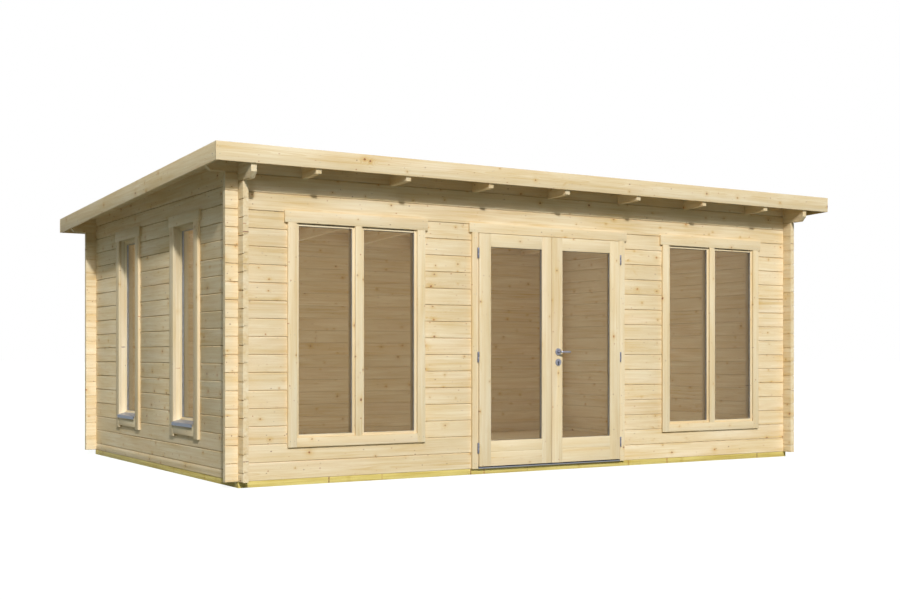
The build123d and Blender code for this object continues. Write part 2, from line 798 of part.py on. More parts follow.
for side, sign in (("left", -1), ("right", 1)):
    with BuildPart() as leaf_hinges:
        for z in hinge_heights:
            with BuildSketch(Plane.XY.offset(z + barrel_joint / 2)):
                with Locations((sign * hinge_x, hinge_y)):
                    Circle(barrel_radius)
                with Locations((sign * (leaf_half + hinge_offset / 2), hinge_y)):
                    Rectangle(hinge_offset, hinge_web)
                plate_middle = hinge_y - hinge_web / 2 + hinge_plate_depth / 2
                with Locations((sign * (leaf_half + hinge_plate / 2), plate_middle)):
                    Rectangle(hinge_plate, hinge_plate_depth)
            extrude(amount=half_barrel)
            with BuildSketch(Plane.XY.offset(z + barrel_joint / 2)):
                with Locations((sign * hinge_x, hinge_y)):
                    Circle(pin_radius + pin_play)
            extrude(amount=pin_length + pin_play, mode=Mode.SUBTRACT)
    finish(leaf_hinges, f"{side}_door_hinges")

# Handle: roses on both faces of the right leaf, two levers on one spindle
with BuildPart() as handle_roses:
    for face, sign in ((leaf_face, 1), (leaf_inside, -1)):
        with BuildSketch(outward_plane(handle_x, face, handle_height)):
            Circle(rose_radius)
            Circle(spindle_radius + spindle_play, mode=Mode.SUBTRACT)
        extrude(amount=sign * rose_thickness)
finish(handle_roses, "handle_roses")

with BuildPart() as lock_escutcheons:
    for face, sign in ((leaf_face, 1), (leaf_inside, -1)):
        with BuildSketch(outward_plane(handle_x, face, lock_height)):
            Circle(rose_radius)
        extrude(amount=sign * rose_thickness)
        with BuildSketch(outward_plane(handle_x, face, lock_height)):
            keyhole_profile()
        extrude(amount=sign * rose_thickness, mode=Mode.SUBTRACT)
finish(lock_escutcheons, "lock_escutcheons")

with BuildPart() as lock_cylinder:
    cylinder_face = leaf_face - rose_thickness - cylinder_proud
    with BuildSketch(outward_plane(handle_x, cylinder_face, lock_height)):
        keyhole_profile()
    extrude(amount=-(leaf_thickness + 2 * rose_thickness + 2 * cylinder_proud))
finish(lock_cylinder, "lock_cylinder")

with BuildPart() as door_handle:
    spindle_start = leaf_face - rose_thickness - lever_gap
    spindle_end = leaf_inside + rose_thickness + lever_gap
    with BuildSketch(outward_plane(handle_x, spindle_start, handle_height)):
        Circle(spindle_radius)
    extrude(amount=spindle_start - spindle_end)
    for start, sign in ((spindle_start, -1), (spindle_end, 1)):
        with BuildLine() as lever_path:
            FilletPolyline(
                (handle_x, start, handle_height),
                (handle_x, start + sign * lever_reach, handle_height),
                (handle_x + lever_length, start + sign * lever_reach, handle_height),
                radius=lever_bend,
            )
        with BuildSketch(Plane(origin=(handle_x, start, handle_height), z_dir=(0, sign, 0))):
            Circle(lever_radius)
        sweep(path=lever_path.wires()[0])
finish(door_handle, "door_handle")
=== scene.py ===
import math
import random

import bmesh
import bpy
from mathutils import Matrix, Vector


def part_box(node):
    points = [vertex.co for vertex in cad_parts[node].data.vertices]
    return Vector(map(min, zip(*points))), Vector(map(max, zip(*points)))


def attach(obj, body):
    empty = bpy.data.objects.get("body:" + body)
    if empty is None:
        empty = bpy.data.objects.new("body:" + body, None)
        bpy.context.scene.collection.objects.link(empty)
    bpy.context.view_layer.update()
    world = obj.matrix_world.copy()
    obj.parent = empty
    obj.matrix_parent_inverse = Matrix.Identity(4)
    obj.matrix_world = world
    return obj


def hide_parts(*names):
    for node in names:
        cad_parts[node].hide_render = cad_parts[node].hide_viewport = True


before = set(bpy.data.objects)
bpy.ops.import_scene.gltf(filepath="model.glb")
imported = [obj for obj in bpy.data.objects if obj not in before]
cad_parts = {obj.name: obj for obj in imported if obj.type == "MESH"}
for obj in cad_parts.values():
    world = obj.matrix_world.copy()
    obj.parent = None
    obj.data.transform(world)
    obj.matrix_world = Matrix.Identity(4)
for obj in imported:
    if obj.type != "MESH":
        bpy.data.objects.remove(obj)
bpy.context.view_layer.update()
print("frame loaded with", len(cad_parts), "pieces")

# Camera: the place and lens that the photograph was taken with
photoView = {
    "place": (-6.3391, -10.6269, 0.9826),
    "turnDegrees": -31.422,
    "focalLength": 50.0,
    "sensorWidth": 36.0,
    "shiftY": 0.06205,
    "clipEnd": 200.0,
}
cameraData = bpy.data.cameras.new("photoCamera")
cameraData.lens = photoView["focalLength"]
cameraData.sensor_width = photoView["sensorWidth"]
cameraData.shift_y = photoView["shiftY"]
cameraData.clip_end = photoView["clipEnd"]
camera = bpy.data.objects.new("photoCamera", cameraData)
camera.location = photoView["place"]
camera.rotation_euler = (math.radians(90.0), 0.0, math.radians(photoView["turnDegrees"]))
bpy.context.scene.collection.objects.link(camera)
bpy.context.scene.camera = camera
bpy.context.scene.view_settings.view_transform = "Standard"


def addNode(tree, kind, inputs=None, **settings):
    # One shader or geometry node, with its inputs linked or set
    made = tree.nodes.new(kind)
    for key, value in settings.items():
        setattr(made, key, value)
    for key, value in (inputs or {}).items():
        if isinstance(value, bpy.types.NodeSocket):
            tree.links.new(value, made.inputs[key])
        else:
            made.inputs[key].default_value = value
    return made


def doMath(tree, operation, first, second=0.0, third=0.0):
    made = addNode(tree, "ShaderNodeMath", {0: first, 1: second, 2: third}, operation=operation)
    return made.outputs[0]


def doVector(tree, operation, first, second=(0.0, 0.0, 0.0)):
    made = addNode(tree, "ShaderNodeVectorMath", {0: first, 1: second}, operation=operation)
    return made.outputs[1] if operation == "LENGTH" else made.outputs[0]


def scaled(tree, vector, factor):
    return addNode(tree, "ShaderNodeVectorMath", {0: vector, "Scale": factor}, operation="SCALE").outputs[0]


def mixColours(tree, share, first, second):
    made = addNode(tree, "ShaderNodeMix", {0: share, 6: first, 7: second}, data_type="RGBA")
    return made.outputs[2]


def remap(tree, value, fromLow, fromHigh, toLow=0.0, toHigh=1.0, smooth=False):
    kind = "SMOOTHSTEP" if smooth else "LINEAR"
    inputs = {0: value, 1: fromLow, 2: fromHigh, 3: toLow, 4: toHigh}
    return addNode(tree, "ShaderNodeMapRange", inputs, interpolation_type=kind).outputs[0]


def srgb(red, green, blue):
    # A colour picked on screen, 0 to 255, as the light values that shaders use
    parts = [c / 255.0 for c in (red, green, blue)]
    linear = [c / 12.92 if c <= 0.04045 else ((c + 0.055) / 1.055) ** 2.4 for c in parts]
    return (*linear, 1.0)


# Light: a low sun from the front left with a bright haze round it, a soft sky and a pale floor
toSun = (-0.2747, -0.8259, 0.4924)
light = {
    # Way to each sun, its strength, colour and width in degrees
    "suns": {
        "sun": (toSun, 2.2, (0.985, 0.99, 1.01), 2.5),
        "backFill": ((0.5, 0.72, 0.48), 1.1, (1.0, 1.0, 1.0), 50.0),
        "haze": (toSun, 0.95, (0.985, 0.99, 1.01), 25.0),
    },
    "skyLight": 0.165,
    "skyColour": (0.86, 1.0, 0.94),
    "floorColour": (0.195, 0.22, 0.19),
    "floorShown": 0.9,
    "floorHalf": 400.0,
    "roomLampHigh": 1.2,
    "roomLampTall": 1.9,
    # Middle on the floor, way it shines, width, power and colour
    "roomLamps": (
        ((-0.35, -1.78), (0.0, 1.0), 4.3, 26.5, (0.84, 0.915, 0.94)),
        ((0.0, 1.7), (0.0, -1.0), 5.2, 13.0, (0.815, 0.915, 1.0)),
        ((-2.7, 0.0), (1.0, 0.0), 3.4, 3.4, (0.94, 0.93, 0.85)),
        ((0.7, -1.0), (1.0, 0.0), 1.4, 1.4, (1.0, 0.86, 0.6)),
    ),
}


def addSun(name, towards, strength, colour, angleDegrees):
    data = bpy.data.lights.new(name, "SUN")
    data.energy = strength
    data.color = colour
    data.angle = math.radians(angleDegrees)
    lamp = bpy.data.objects.new(name, data)
    lamp.rotation_euler = Vector(towards).to_track_quat("Z", "Y").to_euler()
    bpy.context.scene.collection.objects.link(lamp)


def addRoomLamp(middle, towards, width, power, colour):
    # A wide soft lamp that lights the room behind the glass
    data = bpy.data.lights.new("roomLamp", "AREA")
    data.shape = "RECTANGLE"
    data.size, data.size_y = width, light["roomLampTall"]
    data.energy = power
    data.color = colour
    lamp = bpy.data.objects.new("roomLamp", data)
    lamp.location = (*middle, light["roomLampHigh"])
    lamp.rotation_euler = Vector((-towards[0], -towards[1], 0.0)).to_track_quat("Z", "Y").to_euler()
    lamp.visible_camera = False
    lamp.visible_glossy = False
    lamp.visible_transmission = False
    bpy.context.scene.collection.objects.link(lamp)


for name, values in light["suns"].items():
    addSun(name, *values)
for roomLamp in light["roomLamps"]:
    addRoomLamp(*roomLamp)


directRays = ("Is Camera Ray", "Is Glossy Ray", "Is Transmission Ray")


def rayMask(tree, names):
    # 1 for the kinds of ray named
    path = tree.nodes.new("ShaderNodeLightPath")
    total = path.outputs[names[0]]
    for name in names[1:]:
        total = doMath(tree, "MAXIMUM", total, path.outputs[name])
    return total


world = bpy.data.worlds.new("paleStudio")
world.use_nodes = True
bpy.context.scene.world = world
worldTree = world.node_tree
worldTree.nodes.clear()
skySoft = addNode(worldTree, "ShaderNodeBackground", {0: (*light["skyColour"], 1.0), 1: light["skyLight"]})
skyShown = addNode(worldTree, "ShaderNodeBackground", {0: (1.0, 1.0, 1.0, 1.0), 1: 1.0})
skySeen = rayMask(worldTree, directRays)
skyParts = {0: skySeen, 1: skySoft.outputs[0], 2: skyShown.outputs[0]}
skyMix = addNode(worldTree, "ShaderNodeMixShader", skyParts)
addNode(worldTree, "ShaderNodeOutputWorld", {0: skyMix.outputs[0]})


def newMaterial(name):
    material = bpy.data.materials.new(name)
    material.use_nodes = True
    material.node_tree.nodes.clear()
    return material, material.node_tree


def makeFloor():
    half = light["floorHalf"]
    mesh = bpy.data.meshes.new("floor")
    corners = [(-half, -half, 0.0), (half, -half, 0.0), (half, half, 0.0), (-half, half, 0.0)]
    mesh.from_pydata(corners, [], [(0, 1, 2, 3)])
    floor = bpy.data.objects.new("floor", mesh)
    bpy.context.scene.collection.objects.link(floor)
    material, tree = newMaterial("paleFloor")
    plain = addNode(tree, "ShaderNodeBsdfDiffuse", {0: (*light["floorColour"], 1.0)})
    glow = addNode(tree, "ShaderNodeEmission", {0: (1.0, 1.0, 1.0, 1.0), 1: light["floorShown"]})
    shown = addNode(tree, "ShaderNodeAddShader", {0: plain.outputs[0], 1: glow.outputs[0]})
    seen = rayMask(tree, directRays)
    both = addNode(tree, "ShaderNodeMixShader", {0: seen, 1: plain.outputs[0], 2: shown.outputs[0]})
    addNode(tree, "ShaderNodeOutputMaterial", {0: both.outputs[0]})
    mesh.materials.append(material)


makeFloor()
print("camera, light and floor made")

# Spruce: growth rings round a pith beside the board, streaks, fibres and knots
spruce = {
    "boardSpread": 913.7,
    "grainShift": 40.0,
    # Cells in a metre along, across and through the board, and the radii of the knots in them
    "knotCells": (3.2, 8.0, 1.2),
    "knotRadii": (0.003, 0.0084),
    "pinCells": (6.4, 14.0, 2.2),
    "pinRadii": (0.0021, 0.0048),
    "pinShare": 1.05,
    "pinShift": (3.7, 1.9, 0.6),
    "knotRound": (0.8, 1.0, 0.003),
    "knotWobble": 0.004,
    "knotHalo": 0.27,
    "knotCore": 0.84,
    "knotRim": 0.5,
    "pinCore": 0.85,
    "ringsPerMetre": 210.0,
    "ringWander": 0.035,
    "ringSwirl": 0.012,
    "streakContrast": 2.5,
    "cloudContrast": 1.2,
    "fibreContrast": 0.35,
    "swirlContrast": 0.3,
    "middleWarmth": 0.29,
    "blush": (1.0, 0.93, 0.94, 1.0),
    "relief": 0.0006,
    "reliefStrength": 0.6,
    "specular": 0.22,
}
spruceGroup = bpy.data.node_groups.new("sawnWood", "ShaderNodeTree")
for socketName, socketType, value in (
    ("Grain", "NodeSocketVector", None),
    ("Board", "NodeSocketFloat", 0.0),
    ("Pale", "NodeSocketColor", srgb(243, 226, 192)),
    ("Warm", "NodeSocketColor", srgb(217, 184, 122)),
    ("Knot", "NodeSocketColor", srgb(146, 78, 48)),
    ("Rings", "NodeSocketFloat", 0.35),
    ("Streaks", "NodeSocketFloat", 0.6),
    ("Knots", "NodeSocketFloat", 0.5),
    ("Tone Spread", "NodeSocketFloat", 0.06),
):
    made = spruceGroup.interface.new_socket(socketName, in_out="INPUT", socket_type=socketType)
    if value is not None:
        made.default_value = value
for socketName, socketType in (
    ("Color", "NodeSocketColor"),
    ("Height", "NodeSocketFloat"),
    ("Roughness", "NodeSocketFloat"),
):
    spruceGroup.interface.new_socket(socketName, in_out="OUTPUT", socket_type=socketType)


def fillSpruceGroup(tree):
    given = tree.nodes.new("NodeGroupInput").outputs
    board = doMath(tree, "MULTIPLY", given["Board"], spruce["boardSpread"])
    chance = addNode(tree, "ShaderNodeTexWhiteNoise", {"W": board}, noise_dimensions="1D")
    chances = addNode(tree, "ShaderNodeSeparateColor", {0: chance.outputs["Color"]}).outputs
    place = addNode(tree, "ShaderNodeSeparateXYZ", {0: given["Grain"]}).outputs
    shift = scaled(tree, chance.outputs["Color"], spruce["grainShift"])

    def stretched(along, across, detail, roughness=0.5):
        # Noise drawn out along the grain, about 0 in the middle
        drawn = doVector(tree, "MULTIPLY", given["Grain"], (along, across, across))
        moved = doVector(tree, "ADD", drawn, shift)
        inputs = {"Vector": moved, "Scale": 1.0, "Detail": detail, "Roughness": roughness}
        noise = addNode(tree, "ShaderNodeTexNoise", inputs)
        return doMath(tree, "SUBTRACT", noise.outputs[0], 0.5)

    def knotLayer(scale, radii, share, moved):
        # Knots run through the thickness, so their cells are long across it
        stretch, width, depth = spruce["knotRound"]
        space = doVector(tree, "ADD", doVector(tree, "MULTIPLY", given["Grain"], scale), moved)
        cells = addNode(tree, "ShaderNodeTexVoronoi", {"Vector": space, "Scale": 1.0, "Randomness": 0.9})
        draws = addNode(tree, "ShaderNodeSeparateColor", {0: cells.outputs["Color"]}).outputs
        away = doVector(tree, "SUBTRACT", space, cells.outputs["Position"])
        away = doVector(tree, "MULTIPLY", away, (stretch / scale[0], width / scale[1], depth))
        distance = doMath(tree, "ADD", doVector(tree, "LENGTH", away), wobbled)
        size = doMath(tree, "MULTIPLY", draws[1], draws[1])
        relative = doMath(tree, "DIVIDE", distance, remap(tree, size, 0.0, 1.0, *radii))
        return relative, doMath(tree, "LESS_THAN", draws[0], share), draws[2]

    wobble = addNode(tree, "ShaderNodeTexNoise", {"Vector": given["Grain"], "Scale": 120.0, "Detail": 1.0})
    knotWobble = spruce["knotWobble"]
    wobbled = doMath(tree, "MULTIPLY_ADD", wobble.outputs[0], knotWobble, -knotWobble / 2)
    relative, isKnot, knotKind = knotLayer(spruce["knotCells"], spruce["knotRadii"], given["Knots"], shift)
    core = doMath(tree, "MULTIPLY", remap(tree, relative, 1.15, 0.8, smooth=True), isKnot)
    rim = doMath(tree, "SUBTRACT", core, remap(tree, relative, 0.95, 0.45, smooth=True))
    rim = doMath(tree, "MULTIPLY", addNode(tree, "ShaderNodeClamp", {0: rim}).outputs[0], isKnot)
    halo = doMath(tree, "MULTIPLY", remap(tree, relative, 3.4, 1.0, smooth=True), isKnot)
    swirl = doMath(tree, "MULTIPLY", remap(tree, relative, 8.0, 0.5, smooth=True), isKnot)
    pinShare = doMath(tree, "MULTIPLY", given["Knots"], spruce["pinShare"])
    pinShift = doVector(tree, "ADD", shift, spruce["pinShift"])
    pinRelative, isPin, pinKind = knotLayer(spruce["pinCells"], spruce["pinRadii"], pinShare, pinShift)
    pin = doMath(tree, "MULTIPLY", remap(tree, pinRelative, 1.3, 0.7, smooth=True), isPin)

    # Rings round a pith that lies beside the board, drawn aside by the knots
    pithY = remap(tree, chances[0], 0.0, 1.0, -0.05, 0.05)
    pithZ = remap(tree, chances[1], 0.0, 1.0, -0.09, 0.03)
    fromPithY = doMath(tree, "SUBTRACT", place[1], pithY)
    fromPithZ = doMath(tree, "SUBTRACT", place[2], pithZ)
    square = doMath(tree, "MULTIPLY", fromPithY, fromPithY)
    square = doMath(tree, "MULTIPLY_ADD", fromPithZ, fromPithZ, square)
    reach = doMath(tree, "SQRT", square)
    reach = doMath(tree, "MULTIPLY_ADD", stretched(0.9, 5.0, 2.0), spruce["ringWander"], reach)
    reach = doMath(tree, "MULTIPLY_ADD", swirl, spruce["ringSwirl"], reach)
    ring = doMath(tree, "FRACT", doMath(tree, "MULTIPLY", reach, spruce["ringsPerMetre"]))
    late = doMath(tree, "POWER", ring, 2.5)
    late = doMath(tree, "MULTIPLY", late, remap(tree, ring, 1.0, 0.92))

    # How warm the wood is at each place, from pale early wood to resin streaks
    streaks = stretched(1.5, 46.0, 4.0, 0.62)
    clouds = stretched(1.6, 9.0, 2.0)
    fibres = stretched(9.0, 420.0, 2.0, 0.7)
    streakContrast = doMath(tree, "MULTIPLY", given["Streaks"], spruce["streakContrast"])
    warmth = doMath(tree, "MULTIPLY", streaks, streakContrast)
    warmth = doMath(tree, "MULTIPLY_ADD", clouds, spruce["cloudContrast"], warmth)
    warmth = doMath(tree, "MULTIPLY_ADD", late, given["Rings"], warmth)
    warmth = doMath(tree, "MULTIPLY_ADD", fibres, spruce["fibreContrast"], warmth)
    warmth = doMath(tree, "MULTIPLY_ADD", swirl, spruce["swirlContrast"], warmth)
    warmth = doMath(tree, "ADD", warmth, spruce["middleWarmth"])
    warmth = addNode(tree, "ShaderNodeClamp", {0: warmth}).outputs[0]
    colour = mixColours(tree, warmth, given["Pale"], given["Warm"])
    blush = remap(tree, stretched(0.9, 7.0, 2.0), 0.0, 0.25, 0.0, 0.45)
    rosy = mixColours(tree, blush, colour, spruce["blush"])
    rosy.node.blend_type = "MULTIPLY"

    # Each board is a little lighter or darker than the next
    tone = remap(tree, chances[2], 0.0, 1.0, -1.0, 1.0)
    tone = doMath(tree, "MULTIPLY_ADD", tone, given["Tone Spread"], 1.0)
    toned = scaled(tree, rosy, tone)

    # Sound knots are orange, dead ones brown to violet, with a dark rim
    orange = mixColours(tree, 0.55, given["Knot"], srgb(222, 140, 64))
    violet = mixColours(tree, 0.5, given["Knot"], srgb(128, 62, 84))
    knotColour = mixColours(tree, remap(tree, knotKind, 0.3, 0.5), orange, given["Knot"])
    knotColour = mixColours(tree, remap(tree, knotKind, 0.7, 0.8), knotColour, violet)
    haloed = mixColours(tree, doMath(tree, "MULTIPLY", halo, spruce["knotHalo"]), toned, srgb(222, 168, 92))
    knotted = mixColours(tree, doMath(tree, "MULTIPLY", core, spruce["knotCore"]), haloed, knotColour)
    rimmed = mixColours(tree, doMath(tree, "MULTIPLY", rim, spruce["knotRim"]), knotted, srgb(92, 54, 36))
    pinColour = mixColours(tree, remap(tree, pinKind, 0.45, 0.6), srgb(176, 98, 52), srgb(122, 62, 58))
    final = mixColours(tree, doMath(tree, "MULTIPLY", pin, spruce["pinCore"]), rimmed, pinColour)

    height = doMath(tree, "MULTIPLY_ADD", late, 0.5, doMath(tree, "MULTIPLY", fibres, 0.8))
    height = doMath(tree, "MULTIPLY_ADD", core, 0.8, height)
    gloss = doMath(tree, "MULTIPLY_ADD", late, -0.12, 0.62)
    gloss = doMath(tree, "MULTIPLY_ADD", core, -0.15, gloss)
    gloss = doMath(tree, "MULTIPLY_ADD", fibres, 0.2, gloss)
    addNode(tree, "NodeGroupOutput", {"Color": final, "Height": height, "Roughness": gloss})


fillSpruceGroup(spruceGroup)


def boardInputs(tree):
    grain = addNode(tree, "ShaderNodeAttribute", attribute_name="grain").outputs["Vector"]
    board = addNode(tree, "ShaderNodeAttribute", attribute_name="board").outputs["Fac"]
    return grain, board


def objectPlace(tree):
    return tree.nodes.new("ShaderNodeTexCoord").outputs["Object"]


def bumped(tree, height, distance, strength):
    inputs = {"Height": height, "Distance": distance, "Strength": strength}
    return addNode(tree, "ShaderNodeBump", inputs).outputs[0]


def shadeWith(tree, inputs):
    shader = addNode(tree, "ShaderNodeBsdfPrincipled", inputs)
    addNode(tree, "ShaderNodeOutputMaterial", {0: shader.outputs[0]})


def woodMaterial(name, look):
    material, tree = newMaterial(name)
    grain, board = boardInputs(tree)
    wood = tree.nodes.new("ShaderNodeGroup")
    wood.node_tree = spruceGroup
    tree.links.new(grain, wood.inputs["Grain"])
    tree.links.new(board, wood.inputs["Board"])
    for key, value in look.items():
        wood.inputs[key].default_value = value
    inputs = {
        "Base Color": wood.outputs["Color"],
        "Roughness": wood.outputs["Roughness"],
        "Normal": bumped(tree, wood.outputs["Height"], spruce["relief"], spruce["reliefStrength"]),
        "Specular IOR Level": spruce["specular"],
    }
    shadeWith(tree, inputs)
    return material


woods = {
    "logs": woodMaterial(
        "spruceLogs",
        {
            "Rings": 0.38,
            "Streaks": 0.6,
            "Knots": 0.54,
            "Tone Spread": 0.035,
        },
    ),
    "joinery": woodMaterial(
        "joinerySpruce",
        {
            "Pale": srgb(243, 227, 194),
            "Warm": srgb(222, 191, 133),
            "Rings": 0.4,
            "Streaks": 0.5,
            "Knots": 0.34,
            "Tone Spread": 0.02,
        },
    ),
    "boards": woodMaterial(
        "spruceBoards",
        {
            "Rings": 0.45,
            "Streaks": 0.6,
            "Knots": 0.55,
            "Tone Spread": 0.035,
        },
    ),
    "treated": woodMaterial(
        "treatedTimber",
        {
            "Pale": srgb(240, 222, 140),
            "Warm": srgb(196, 168, 78),
            "Knot": srgb(150, 92, 36),
            "Rings": 0.6,
            "Streaks": 1.2,
            "Knots": 0.8,
            "Tone Spread": 0.06,
        },
    ),
}


# Metal: brushed or zinced, with faint blotches; the levels are where the sill folds down, below which its
# lip gets a painted shade, and where the threshold turns to its front edge, above which it is dark navy and
# below which it is pale grey
metalLook = {
    "metallic": 0.9,
    "roughSpread": 0.18,
    "blotches": 30.0,
    "darker": 0.8,
    "relief": 0.0001,
    "levelEdge": 0.001,
    "sillShadedLipLevel": 0.4322,
    "thresholdEdge": 0.0565,
}


def metalMaterial(name, colour, roughness, grainScale, relief, below=None):
    # below gives a second colour under a level
    material, tree = newMaterial(name)
    place = objectPlace(tree)
    drawn = doVector(tree, "MULTIPLY", place, grainScale)
    noise = addNode(tree, "ShaderNodeTexNoise", {"Vector": drawn, "Scale": 1.0, "Detail": 3.0}).outputs[0]
    inputs = {"Vector": place, "Scale": metalLook["blotches"], "Detail": 2.0}
    blotch = addNode(tree, "ShaderNodeTexNoise", inputs).outputs[0]
    spread = metalLook["roughSpread"]
    rough = doMath(tree, "MULTIPLY_ADD", noise, spread, roughness - spread / 2)
    darker = (*[c * metalLook["darker"] for c in colour[:3]], 1.0)
    tint = mixColours(tree, remap(tree, blotch, 0.35, 0.7), colour, darker)
    if below:
        level, lower = below
        edge = metalLook["levelEdge"]
        high = addNode(tree, "ShaderNodeSeparateXYZ", {0: place}).outputs[2]
        tint = mixColours(tree, remap(tree, high, level - edge, level + edge), lower, tint)
    inputs = {
        "Base Color": tint,
        "Metallic": metalLook["metallic"],
        "Roughness": rough,
        "Normal": bumped(tree, noise, metalLook["relief"], relief),
    }
    shadeWith(tree, inputs)
    return material


metals = {
    "handle": metalMaterial("satinSteel", srgb(154, 155, 167), 0.32, (60.0, 60.0, 900.0), 0.2),
    "hinge": metalMaterial("zincedSteel", srgb(118, 120, 134), 0.44, (300.0, 300.0, 60.0), 0.3),
    # The sills are one coated sheet; the darker colour under the fold level is painted shade on the
    # folded-down lip
    "sheet": metalMaterial(
        "coatedSheetShadedLip",
        srgb(172, 174, 184),
        0.5,
        (200.0, 8.0, 200.0),
        0.1,
        (metalLook["sillShadedLipLevel"], srgb(116, 124, 136)),
    ),
    "threshold": metalMaterial(
        "thresholdBar",
        srgb(38, 46, 68),
        0.5,
        (6.0, 500.0, 500.0),
        0.3,
        (metalLook["thresholdEdge"], srgb(144, 145, 147)),
    ),
    "spacer": metalMaterial("spacerBar", srgb(212, 214, 226), 0.5, (100.0, 100.0, 100.0), 0.0),
    # The lock cylinder face is a plain dark grey
    "cylinder": metalMaterial("darkLockCylinder", srgb(70, 70, 76), 0.4, (400.0, 20.0, 400.0), 0.2),
    "nail": metalMaterial("nailSteel", srgb(150, 150, 148), 0.45, (300.0, 300.0, 300.0), 0.0),
}


# Panes: clear with a faint sheen, fainter in the side windows, which the camera sees at a flat angle
panes = {
    "frontBend": 1.2,
    "sideBend": 1.05,
    "tint": (0.94, 0.955, 0.95, 1.0),
    "letThrough": (0.5, 0.5, 0.49, 1.0),
    "rippleScale": 2.5,
    "rippleDepth": 0.002,
    "rippleStrength": 0.2,
}


def glassMaterial(name, bend):
    # Shadow and diffuse rays pass straight through, so the sun and the sky light the room
    material, tree = newMaterial(name)
    inputs = {"Vector": objectPlace(tree), "Scale": panes["rippleScale"], "Detail": 0.0}
    ripple = addNode(tree, "ShaderNodeTexNoise", inputs).outputs[0]
    inputs = {
        "Base Color": panes["tint"],
        "Transmission Weight": 1.0,
        "Roughness": 0.0,
        "IOR": bend,
        "Normal": bumped(tree, ripple, panes["rippleDepth"], panes["rippleStrength"]),
    }
    shader = addNode(tree, "ShaderNodeBsdfPrincipled", inputs)
    clear = addNode(tree, "ShaderNodeBsdfTransparent", {0: panes["letThrough"]})
    through = rayMask(tree, ("Is Shadow Ray", "Is Diffuse Ray"))
    both = addNode(tree, "ShaderNodeMixShader", {0: through, 1: shader.outputs[0], 2: clear.outputs[0]})
    addNode(tree, "ShaderNodeOutputMaterial", {0: both.outputs[0]})
    return material


def feltMaterial():
    # Bitumen felt with slate granules, where each strip has a shade of its own
    material, tree = newMaterial("roofFelt")
    place = objectPlace(tree)
    grit = addNode(tree, "ShaderNodeTexVoronoi", {"Vector": place, "Scale": 420.0})
    shade = addNode(tree, "ShaderNodeSeparateColor", {0: grit.outputs["Color"]}).outputs[0]
    patches = addNode(tree, "ShaderNodeTexNoise", {"Vector": place, "Scale": 1.4, "Detail": 4.0}).outputs[0]
    stone = mixColours(tree, shade, srgb(62, 66, 68), srgb(104, 108, 106))
    worn = mixColours(tree, remap(tree, patches, 0.4, 0.75, 0.0, 0.45), stone, srgb(92, 93, 84))
    strip = remap(tree, boardInputs(tree)[1], 0.0, 1.0, 0.84, 1.12)
    inputs = {
        "Base Color": scaled(tree, worn, strip),
        "Roughness": remap(tree, shade, 0.0, 1.0, 0.8, 0.95),
        "Normal": bumped(tree, grit.outputs["Distance"], 0.001, 0.7),
    }
    shadeWith(tree, inputs)
    return material


def rubberMaterial():
    material, tree = newMaterial("sealRubber")
    inputs = {"Vector": objectPlace(tree), "Scale": 60.0, "Detail": 2.0}
    noise = addNode(tree, "ShaderNodeTexNoise", inputs).outputs[0]
    tint = mixColours(tree, noise, srgb(186, 172, 146), srgb(160, 148, 126))
    shadeWith(tree, {"Base Color": tint, "Roughness": remap(tree, noise, 0.0, 1.0, 0.5, 0.7)})
    return material


glass = glassMaterial("clearGlass", panes["frontBend"])
sideGlass = glassMaterial("sideGlass", panes["sideBend"])
felt = feltMaterial()
sealRubber = rubberMaterial()
print("materials made")


def dress(nodeName, material):
    # A CAD piece keeps its shape and gets its finish
    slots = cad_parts[nodeName].data.materials
    slots.clear()
    slots.append(material)


for nodeName, material in {
    "left_front_window_glass": glass,
    "right_front_window_glass": glass,
    "near_side_window_glass": sideGlass,
    "far_side_window_glass": sideGlass,
    "left_door_glass": glass,
    "right_door_glass": glass,
    "window_spacers": metals["spacer"],
    "left_door_spacer": metals["spacer"],
    "right_door_spacer": metals["spacer"],
    "near_side_window_sill": metals["sheet"],
    "far_side_window_sill": metals["sheet"],
}.items():
    dress(nodeName, material)

# Boards: each board of a wooden piece is cut out of its CAD solid, its edges are eased,
# and it gets a place along and across its grain, so that no two boards look alike
boardCut = {
    "ease": 0.0012,
    "easeSegments": 2,
    "mergeDistance": 0.00002,
    "flatDegrees": 0.5,
    "sharpDegrees": 25.0,
    "crispDegrees": 28.0,
    "uprightShare": 0.98,
    "shortestUpright": 0.012,
    "margin": 0.01,
    "shiftAlong": 40.0,
    "seed": 7,
}
boardRandom = random.Random(boardCut["seed"])


def meshObject(name, mesh):
    made = bpy.data.objects.new(name, mesh)
    bpy.context.scene.collection.objects.link(made)
    return made


def removeObject(thing):
    mesh = thing.data
    bpy.data.objects.remove(thing)
    bpy.data.meshes.remove(mesh)


def shapeOf(mesh):
    shape = bmesh.new()
    shape.from_mesh(mesh)
    return shape


def meshOf(shape, name):
    mesh = bpy.data.meshes.new(name)
    shape.to_mesh(mesh)
    shape.free()
    return mesh


def mergeDoubles(shape):
    bmesh.ops.remove_doubles(shape, verts=shape.verts, dist=boardCut["mergeDistance"])


def cadCopy(nodeName):
    shape = shapeOf(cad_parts[nodeName].data)
    mergeDoubles(shape)
    return meshObject(nodeName + "Copy", meshOf(shape, nodeName + "Copy"))


def boxMesh(low, high):
    shape = bmesh.new()
    bmesh.ops.create_cube(shape, size=1.0)
    for vertex in shape.verts:
        vertex.co = [low[i] + (high[i] - low[i]) * (vertex.co[i] + 0.5) for i in range(3)]
    return meshOf(shape, "cutter")


